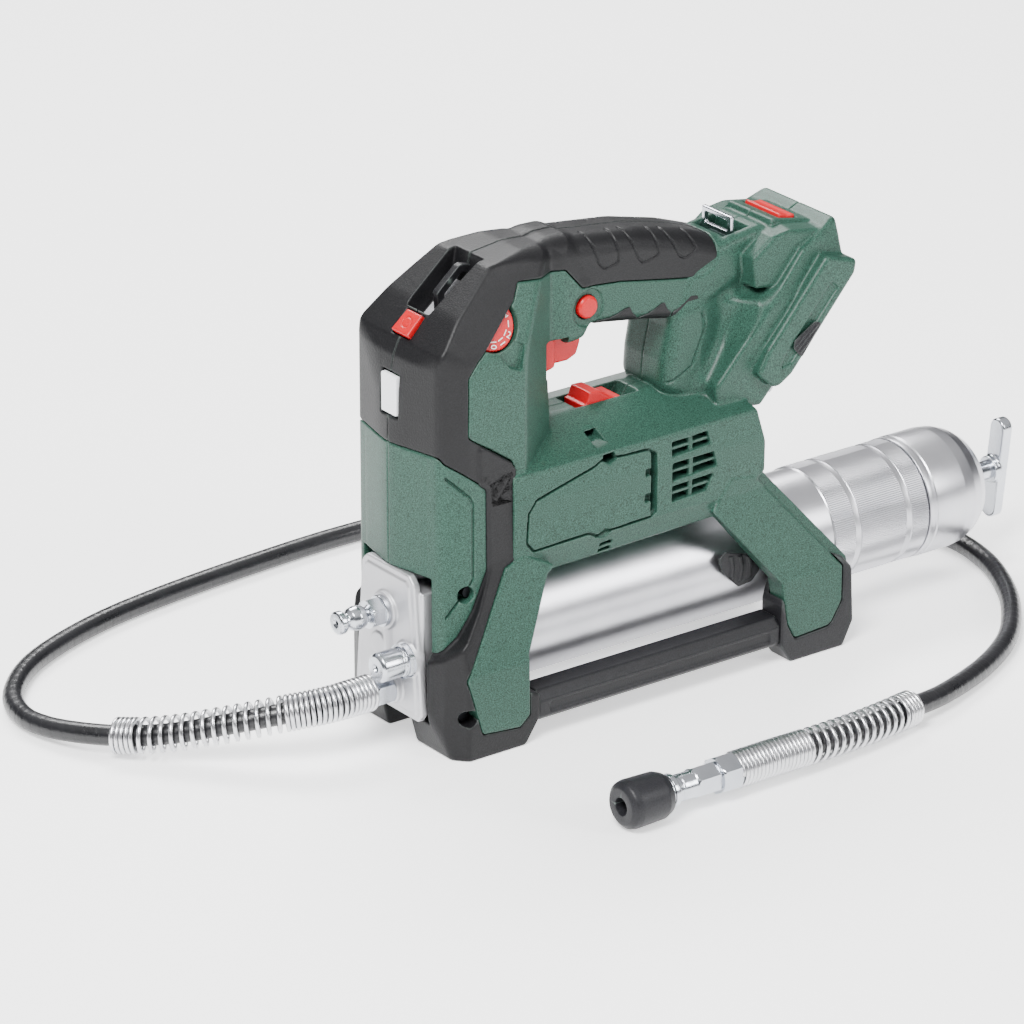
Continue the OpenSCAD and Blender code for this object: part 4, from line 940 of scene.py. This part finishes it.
# ---- Barrel, end cap and follower -------------------------------------------------------------
# The grease barrel is satin steel tube screwed on the pump head. Its rear end is rolled with
# a fine straight knurl between two plain grooves, and closed by a deep drawn screw cap.
satin_tube = metal("satin_drawn_tube", "d6d6da", "b4b4ba", 0.27, (14, 0.35, 0.35), lift=0.12)
bright_zinc = metal("bright_zinc_plate", "d6d9de", "a4a8b0", 0.16, (0.25, 2.5, 2.5), lift=0.08)
TUBE_R, KNURL_R, GROOVE_R, BORE_R = 29.0, 29.45, 29.2, 27.5
KNURL_COUNT = 180
bands = [(241.3, 254), (257.5, 285.5), (289, 299)]
profile = [(34.8, BORE_R), (34.8, TUBE_R, 0.5), (240.6, TUBE_R), (241.2, KNURL_R)]
for low, high in bands:
    profile += [(low + 0.1, KNURL_R, 0), (high - 0.1, KNURL_R, 0)]
    if high < 299:
        profile += [(high + 0.3, GROOVE_R), (high + 3.2, GROOVE_R)]
profile += [(299.5, KNURL_R), (299.5, BORE_R)]
barrel = turned("grease_barrel", profile, (0, 0, BARREL_Z), satin_tube, "barrel", sides=4 * KNURL_COUNT,
                closed=True, ridges=[(low, high, KNURL_COUNT, 0.35) for low, high in bands])
stands_for(barrel, "barrel_steel", "barrel_tube")
cap_profile = [(284, 27.3), (299.9, 27.3), (300.1, 30.1, 0.5), (303, 30.1, 0.4), (303.6, 29.8),
               (304.4, 29.8), (305, 30.3)]
cap_profile += [(323 + 24 * math.sin(math.radians(a)), 8 + 22.3 * math.cos(math.radians(a)),
                 3) for a in range(0, 91, 15)]
cap_profile += [(347.4, 8, 0.5), (349, 7.6, 0.6), (349, 4.9), (284, 4.9)]
end_cap = turned("drawn_end_cap", cap_profile, (0, 0, BARREL_Z), satin_tube, "end_cap", sides=160,
                 closed=True)
stands_for(end_cap, "barrel_steel", "end_cap")
pull_rod = turned("pull_rod", [(58, 0, 0), (58, 4.75, 0.6), (365.6, 4.75), (365.6, 0, 0)], (0, 0, BARREL_Z),
                  bright_zinc, "follower", sides=48)
stands_for(pull_rod, "zinc_plate", "follower_rod")
pull = Mould((358, -13, 14), (374, 13, 75), 0.4)
lean_turn = math.radians(7)
pull_y = pull.y * math.cos(lean_turn) + (pull.z - BARREL_Z) * math.sin(lean_turn)
pull_z = -pull.y * math.sin(lean_turn) + (pull.z - BARREL_Z) * math.cos(lean_turn)
bar = np.hypot(pull_y, np.maximum(np.abs(pull_z) - 21.75, 0)) - 5.25
handle_bar = both(1.1, bar, np.abs(pull.x - 367.5) - 3)
hub = both(0.5, np.hypot(pull_y, pull_z) - 6.7, between(pull.x, 361.6, 366))
t_handle = moulding("t_handle", join(1.0, handle_bar, hub), pull, "follower", bright_zinc, 0.4)
stands_for(t_handle, "zinc_plate", "t_handle")

# ---- Barrel latch ---------------------------------------------------------------------------
# A ridged slider of hard black nylon on the inner face of the left rear leg: pulled back,
# it frees the barrel to be unscrewed.
bolt = Mould((164, -34, 38), (196, -29, 62), 0.45)
bolt_side = outline(rounded([(168, 57, 2), (172, 60, 2), (190, 54, 3), (193, 46, 2), (188, 41, 2),
                             (180, 40, 2), (170, 50, 2)], 2), bolt.x, bolt.z)
latch = both(0.6, bolt_side, between(-bolt.y, 30.7, 32.2))
for step in range(3):
    at = 173.5 + 5.4 * step
    chevron = outline([(at, 57 - step), (at + 2.4, 57 - step), (at + 3.6, 50), (at + 2.4, 43.5), (at, 43.5),
                       (at + 1.2, 50)], bolt.x, bolt.z)
    latch = join(0.4, latch, both(0.4, chevron, bolt_side + 0.8, between(-bolt.y, 31, 32.9)))
barrel_latch = moulding("barrel_latch", latch, bolt, "barrel_latch", hard_nylon, 0.4)
stands_for(barrel_latch, "soft_black", "barrel_latch")

# ---- Pump head and its fittings ----------------------------------------------------------------
# Cast in light alloy and bead blasted: a front plate with bosses for the filler nipple, the
# relief valve and the hose, and behind it the pump block and the spigot for the barrel.
cast_alloy = metal("blasted_cast_alloy", "d2d2d4", "bcbcc0", 0.5, (0.5, 0.5, 0.5), lift=0.35)
pump = Mould((-5, -30, 15), (56, 30, 88), 0.6)
plate_face = outline(rounded([(23, 16), (26, 20, 3), (20.5, 83, 4), (16.5, 87, 3), (-16.5, 87, 3),
                              (-20.5, 83, 4), (-26, 20, 3), (-23, 16)], 2), pump.y, pump.z)
front_plate = both(0.9, plate_face, between(pump.x, 0, 4))
raised_face = both(0.8, plate_face + 3.4, between(pump.x, -0.7, 3))
bosses = [both(0.8, np.hypot(pump.y - y, pump.z - height) - r, between(pump.x, out, 4))
          for y, height, r, out in ((0, 65, 9, -3), (-5, 28.5, 8, -4), (-16, 46, 8.5, -2),
                                    (6, 46, 5.5, -1.6))]
channel = both(1.5, np.hypot(pump.y + 0.13 * (65 - pump.z), pump.x - 1.5) - 4.2, between(pump.z, 28, 65))
pump_block = both(1.0, between(pump.y, -23, 23), between(pump.z, 18, 79), between(pump.x, 3, 34))
spigot = both(0.6, np.hypot(pump.y, pump.z - BARREL_Z) - 27.38, between(pump.x, 33, 54))
top_boss = both(0.8, np.hypot(pump.y, pump.x - 17) - 9, between(pump.z, 70, 85))
casting = join(1.0, front_plate, raised_face, *bosses, channel, pump_block, spigot, top_boss)
pump_head = moulding("pump_head_casting", casting, pump, "tool", cast_alloy)
stands_for(pump_head, "cast_alloy", "pump_head")
nipple = turned("filler_nipple", [(7, 0, 0), (7, 5), (-3, 5), (-3, 7.5, 0.3), (-5, 7.5, 0.3), (-5.2, 7.0),
                                  (-6, 8.3, 0.5), (-11.2, 8.3, 0.5), (-12, 6.6), (-12.4, 3.5), (-13, 3.5),
                                  (-14.6, 5.1, 1), (-18, 6.0, 4), (-21.4, 5.1, 1), (-23, 3.4, 0.5),
                                  (-25, 3.4), (-25.2, 5.1, 0.4), (-26, 5.5, 0.4), (-28.4, 5.5, 0.6),
                                  (-29, 4.6, 0.3), (-29, 2.2), (-28.2, 1.2), (-28.2, 0, 0)], (0, 0, 65),
                bright_zinc, "tool", hexes=[(-12, -5.2, 6.3)])
stands_for(nipple, "zinc_plate", "filler_nipple")
valve = turned("relief_valve", [(7, 0, 0), (7, 6), (-2, 6), (-2.1, 8.6), (-5, 8.6, 0.4), (-5.2, 7),
                                (-6.4, 7), (-6.6, 6.6), (-7.4, 6.6), (-7.6, 7), (-17.8, 7, 1.2),
                                (-19, 5.6, 0.6), (-19, 2), (-18, 1.5), (-18, 0, 0)], (0, -17, 46),
               bright_zinc, "tool", hexes=[(-5, -2.1, 7.6)])
stands_for(valve, "zinc_plate", "relief_valve")
hose_nut_front = turned("hose_nut_front", [(5.4, 0, 0), (5.4, 5), (-4.05, 5), (-4.1, 7.6), (-5, 8.2, 0.3),
                                           (-13, 8.2, 0.3), (-14, 7.4, 0.3), (-14, 5.2), (-13, 5.1),
                                           (-13, 0, 0)], (0, -5, 28.5), bright_zinc, "tool",
                        hexes=[(-14, -4.1, 7.15)])
stands_for(hose_nut_front, "zinc_plate", "hose_nut_front")
hose_nut_rear = turned("hose_nut_rear", [(79, 0, 0), (79, 8.2), (80, 9.4, 0.4), (89, 9.4, 0.4), (90, 8.2),
                                         (90, 5.2), (89, 5.1), (89, 0, 0)], (0, -142, 12), bright_zinc,
                       "tool", hexes=[(79, 90, 8.15)])
stands_for(hose_nut_rear, "zinc_plate", "hose_nut_rear")
coupler = turned("grease_coupler", [(48, 3.4), (48, 7.4), (48.6, 8, 0.3), (50.4, 8), (50.8, 7.4),
                                    (51.6, 7.4), (52, 8), (54.6, 8, 0.4), (55.2, 6.5), (57, 6.5),
                                    (57.3, 6.2), (58.2, 6.2), (58.5, 6.5), (65.4, 6.5), (66, 7.0),
                                    (66.8, 7.6, 0.3), (78, 7.6, 0.3), (79, 6.8), (79, 3.4)], (0, -142, 12),
                 bright_zinc, "tool", closed=True, hexes=[(66, 79, 6.6)])
stands_for(coupler, "zinc_plate", "coupler")
cap_rubber = moulded("black_cap_rubber", "26262a", "161618", 0.5, 0.4, 0.2)
rubber_cap = turned("coupler_cap", [(26, 4.2, 0.6), (26, 8.6, 1.5), (28, 11.0, 2), (31, 11.6, 2),
                                    (46, 11.2, 2), (50, 9.6, 1.4), (50, 8.05), (44, 8.0), (44, 4.2)],
                    (0, -142, 12), cap_rubber, "tool", closed=True)
stands_for(rubber_cap, "rubber", "coupler_cap")

# ---- Controls ---------------------------------------------------------------------------------
# Every control is moulded in glossy signal red acetal: trigger, lock off button, lamp button,
# dose wheel, gear selector and battery release.
red_acetal = moulded("signal_red_acetal", "c2161e", "a60c14", 0.4, 0.3, 0.08)
trigger_box = Mould((75, -15, 165), (106, 15, 189), 0.55)
blade = outline(rounded([(82, 181), (103, 181, 1), (104, 175, 2), (101.5, 169, 2.5), (96, 167.2, 3),
                         (82, 167.8)], 1), trigger_box.x, trigger_box.z)
trigger_heel = outline(rounded([(76.5, 187.5), (81, 187.5), (86, 180), (86, 167.4), (80, 166), (76.5, 174)],
                               2), trigger_box.x, trigger_box.z)
finger_pad = np.abs(trigger_box.y) - 10 + 0.012 * (trigger_box.x - 84) ** 2 * (trigger_box.x > 84) * 0.35
pull_face = join(2.0, both(1.6, blade, finger_pad), both(1.2, trigger_heel, np.abs(trigger_box.y) - 13),
                 both(0.2, rod(trigger_box.x, trigger_box.z, TRIGGER_AT, 2), np.abs(trigger_box.y) - 14.8))
trigger = moulding("trigger", pull_face, trigger_box, "trigger", red_acetal, 0.4)
stands_for(trigger, "red_plastic", "trigger")
lock_off = turned("lock_off_button", [(-18.6, 0, 0), (-18.6, 4.4, 0.9), (-17.4, 5.45, 0.8),
                                      (17.4, 5.45, 0.8), (18.6, 4.4, 0.9), (18.6, 0, 0)], (101, 0, 194.9),
                  red_acetal, "lock_off", axis="y", sides=64)
stands_for(lock_off, "red_plastic", "lock_off_button")
lamp_box = Mould((4, -8, 192), (21, 8, 211), 0.45)
tap_run, tap_rise = tilted(lamp_box, LAMP_AT, LAMP_TILT)
tap = both(0.8, np.maximum(np.abs(tap_run) - 5.9, np.abs(lamp_box.y) - 6.3 + 0.05 * (tap_run + 6)),
           between(tap_rise, -3, 1.15))
tap = cut(0.3, tap, np.maximum(np.abs(np.hypot(tap_run, lamp_box.y) - 2.6) - 0.25, 0.8 - tap_rise))
lamp_button = moulding("lamp_button", tap, lamp_box, "lamp_button", red_acetal, 0.4)
stands_for(lamp_button, "red_plastic", "lamp_button")
shift = Mould((104, -9, 136), (130, 9, 149), 0.5)
shift_base = both(0.6, between(shift.x, 106, 128), np.abs(shift.y) - 7.4, between(shift.z, 137, 142))
shift_grip = both(0.8, outline(rounded([(107, 140), (110, 147.4), (116, 147), (125.5, 140)], 1), shift.x,
                               shift.z), np.abs(shift.y) - 7.4)
gear_selector = moulding("gear_selector", join(0.8, shift_base, shift_grip), shift, "gear_selector",
                         red_acetal, 0.4)
stands_for(gear_selector, "red_plastic", "gear_selector")
push = Mould((213, -15, 203), (231, 15, 217), 0.5)
push_run, push_rise = tilted(push, RELEASE_AT, RELEASE_TILT)
key = both(1.0, np.abs(push_run) - 4.95, np.abs(push.y) - 12.9, between(push_rise, -4, 2.5))
key = cut(0.5, key, np.hypot(push_run, push_rise - 9.6) - 7.9)
release_button = moulding("release_button", key, push, "release_button", red_acetal, 0.4)
stands_for(release_button, "red_plastic", "release_button")

# Dose wheel: a disc under the edge of the cap, with white numbers printed on its face and
# notches round the rim for the thumb
wheel_middle = np.array((WHEEL_AT[0], -WHEEL_AT[1], WHEEL_AT[2]))
face_out = np.array((0, -math.cos(WHEEL_LEAN), math.sin(WHEEL_LEAN)))
face_up = np.array((0, math.sin(WHEEL_LEAN), math.cos(WHEEL_LEAN)))
face_rear = np.array((1.0, 0, 0))
WHEEL_NOTCHES, WHEEL_SIDES, NOTCH_DEEP = 45, 180, 0.35
ring = []
turn = 2 * math.pi * np.arange(WHEEL_SIDES) / WHEEL_SIDES
for down, r in rounded([(6, 11.6, 0.6), (5.4, 12.2), (0.8, 12.2), (0.1, 11.5, 0.6)], 0.2, 2):
    radius = r - NOTCH_DEEP * (np.cos(turn * WHEEL_NOTCHES) > 0.2) * (0.4 < down < 5.6)
    ring += [wheel_middle - down * face_out + q * (math.cos(t) * face_rear + math.sin(t) * face_up) for t,
             q in zip(turn, radius)]
rows = len(ring) // WHEEL_SIDES
faces = ring_faces(rows - 1, rows, WHEEL_SIDES)
faces += [tuple(range(WHEEL_SIDES)), tuple(range((rows - 1) * WHEEL_SIDES, rows * WHEEL_SIDES))[::-1]]
dose_wheel = outward(mesh_object("dose_wheel", [place(p) for p in ring], faces), red_acetal, "dose_wheel")
stands_for(dose_wheel, "red_plastic", "dose_wheel")
print_white = moulded("white_pad_print", "f4f4f2", "e6e6e4", 0.3, 0.5, 0.05)
FIGURE_H, PRINT_T, FIGURE_R, FIGURES = 4.4, 0.04, 8.9, 12
for number in range(FIGURES):
    letters = bpy.data.curves.new("number", "FONT")
    letters.body = str(number + 1)
    letters.size = FIGURE_H * MM
    letters.align_x, letters.align_y = "CENTER", "CENTER"
    letters.extrude = PRINT_T * MM
    text = bpy.data.objects.new("number", letters)
    bpy.context.scene.collection.objects.link(text)
    bpy.context.view_layer.update()
    flat = bpy.data.meshes.new_from_object(text.evaluated_get(bpy.context.evaluated_depsgraph_get()))
    bpy.data.objects.remove(text)
    about = math.radians(360 / FIGURES * number - 10)
    radial = math.cos(about) * face_rear + math.sin(about) * face_up
    across = -math.sin(about) * face_rear + math.cos(about) * face_up
    middle = wheel_middle + FIGURE_R * radial
    for vertex in flat.vertices:
        a, b, c = (v / MM for v in vertex.co)
        vertex.co = place(middle + a * radial + b * across + (c - PRINT_T) * face_out)
    figure = bpy.data.objects.new("dose_number_%02d" % (number + 1), flat)
    bpy.context.scene.collection.objects.link(figure)
    flat.materials.clear()
    flat.materials.append(print_white)
    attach(figure, "dose_wheel")

# ---- Lamp and strap eyes ---------------------------------------------------------------------
# The work lamp shines through a frosted lens in the cap. A bow of black nylon in the recess
# on top and a bent steel eye behind the handle take a carrying strap.
frosted_lens = moulded("frosted_lens", "f6f8fa", "e9edf0", 0.8, 0.18, 0.1)
lens_box = Mould((0, -7, 160), (6, 7, 181), 0.4)
lens_shape = both(0.7, np.abs(lens_box.y) - 5.75, between(lens_box.z, 161, 180),
                  between(lens_box.x, 1.2, 4.2))
lamp_lens = moulding("lamp_lens", lens_shape, lens_box, "tool", frosted_lens, 0.4)
stands_for(lamp_lens, "clear_lens", "lamp_lens")
bow = Mould((17, -10.5, 194), (50, 10.5, 229), 0.45)
bow_side = outline(rounded([(28.6, 200.6), (27.4, 213.4, 1.5), (28.8, 214.8, 1), (39.2, 223.9, 2),
                            (41.2, 224.6, 1.5), (46.8, 223.4), (45.6, 219.8), (41, 220.4, 1),
                            (31.6, 212.2, 1), (32.4, 203.4)], 0.6), bow.x, bow.z)
strap = both(0.5, bow_side, np.abs(bow.y) - 2)
strap_bar = moulding("strap_bow", strap, bow, "tool", hard_nylon, 0.4)
stands_for(strap_bar, "soft_black", "strap_bar")
pad_line = outline(rounded([(26, 201.4), (43, 215.2), (43.6, 214.2), (26.6, 200.4)], 0.3), bow.x, bow.z)
pads = both(0.3, pad_line, between(np.abs(bow.y), 0.9, 7.4))
grey_felt = moulded("grey_felt_pad", "b9b9bc", "7e7e82", 0.5, 0.8, 0.4)
floor_pads = moulding("recess_pads", pads, bow, "tool", grey_felt, 0.4)
eye_box = Mould((186, -14.5, 204), (194, 14.5, 219), 0.45)
eye_pin = np.hypot(eye_box.x - 190, eye_box.z - 207.5) - 1.45
eye_frame = both(0.8, np.abs(eye_box.y) - 11, between(eye_box.z, 207, 217.4), np.abs(eye_box.x - 190) - 1.2)
eye_hole = both(1.0, np.abs(eye_box.y) - 8.5, between(eye_box.z, 209.6, 215))
eye_shape = join(0.5, both(0.4, eye_pin, np.abs(eye_box.y) - 13), np.maximum(eye_frame, -eye_hole))
rear_eye = moulding("rear_strap_eye", eye_shape, eye_box, "tool", bright_zinc, 0.4)
stands_for(rear_eye, "zinc_plate", "rear_strap_eye")

# ---- Battery guides --------------------------------------------------------------------------
# A ribbed pad of hard black nylon, set in each side of the mount, steadies the battery pack.
# The two pads are one fitting in two pieces.
guide = Mould((204, -38.4, 148), (226, -36, 169), 0.45)
guide_side = outline(rounded([(207, 160), (219, 167), (223.5, 165.5), (211.5, 150.5), (206.5, 156)], 1.2),
                     guide.x, guide.z)
guide_ribs = np.abs((((guide.x - 207) * 0.66 - (guide.z - 155) * 0.75) / 2.2) % 1 - 0.5) * 2.2 - 0.55
guide_pad = both(0.4, guide_side, between(-guide.y, 36.6, 37.5))
guide_pad = np.minimum(guide_pad, both(0.3, guide_side + 1.0, guide_ribs, between(-guide.y, 37, 38)))
for name, flip in (("left", False), ("right", True)):
    thing = moulding("guide_pad_" + name, guide_pad, guide, "tool", hard_nylon, 0.4, mirrored=flip)
    if not flip:
        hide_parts("guide_pads")

# ---- Inside parts ------------------------------------------------------------------------------
# The drive train, the electronics and the rest of what the housing hides keep their own
# shapes and are finished in the metal or plastic that they are made of.
machined = metal("machined_steel", "c6c8cc", "9a9da3", 0.28, (3.0, 0.3, 0.3), lift=0.12)
die_cast = metal("die_cast_gear_case", "a9acb0", "8a8d92", 0.5, (0.8, 0.8, 0.8), lift=0.3)
wound_copper = metal("lacquered_copper_wire", "c47a3c", "8a4a20", 0.35, (0.4, 6.0, 6.0), lift=0.4)
black_steel = metal("blacked_screw_steel", "2c2d30", "1b1c1e", 0.38, (0.5, 0.5, 0.5), lift=0.2)
fibre_board = moulded("green_circuit_board", "2f7a45", "1d5530", 0.3, 0.3, 0.1)
black_moulding = moulded("black_nylon_moulding", "2b2b2f", "1c1c1f", 0.5, 0.45, 0.2)
seal_rubber = moulded("nitrile_seal_rubber", "242427", "151517", 0.4, 0.55, 0.15)
INSIDE = { machined: ["check_ball", "check_spring", "sun_pinion", "planet_gears", "planet_carrier",
                      "crank_disc", "motor_can", "battery_rails", "follower_spring", "motor_bearings",
                      "output_bearing"], bright_zinc: ["plate_screws", "valve_plug", "plunger"],
          die_cast: ["gearbox_case"], wound_copper: ["armature"], black_steel: ["housing_screws"],
          fibre_board: ["control_board", "lamp_board"], black_moulding: ["cooling_fan", "switch_body",
                                                                         "terminal_block"],
          seal_rubber: ["rod_seal", "follower_piston"], }
for material, names in INSIDE.items():
    for name in names:
        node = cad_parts[name]
        node.data.materials.clear()
        node.data.materials.append(material)
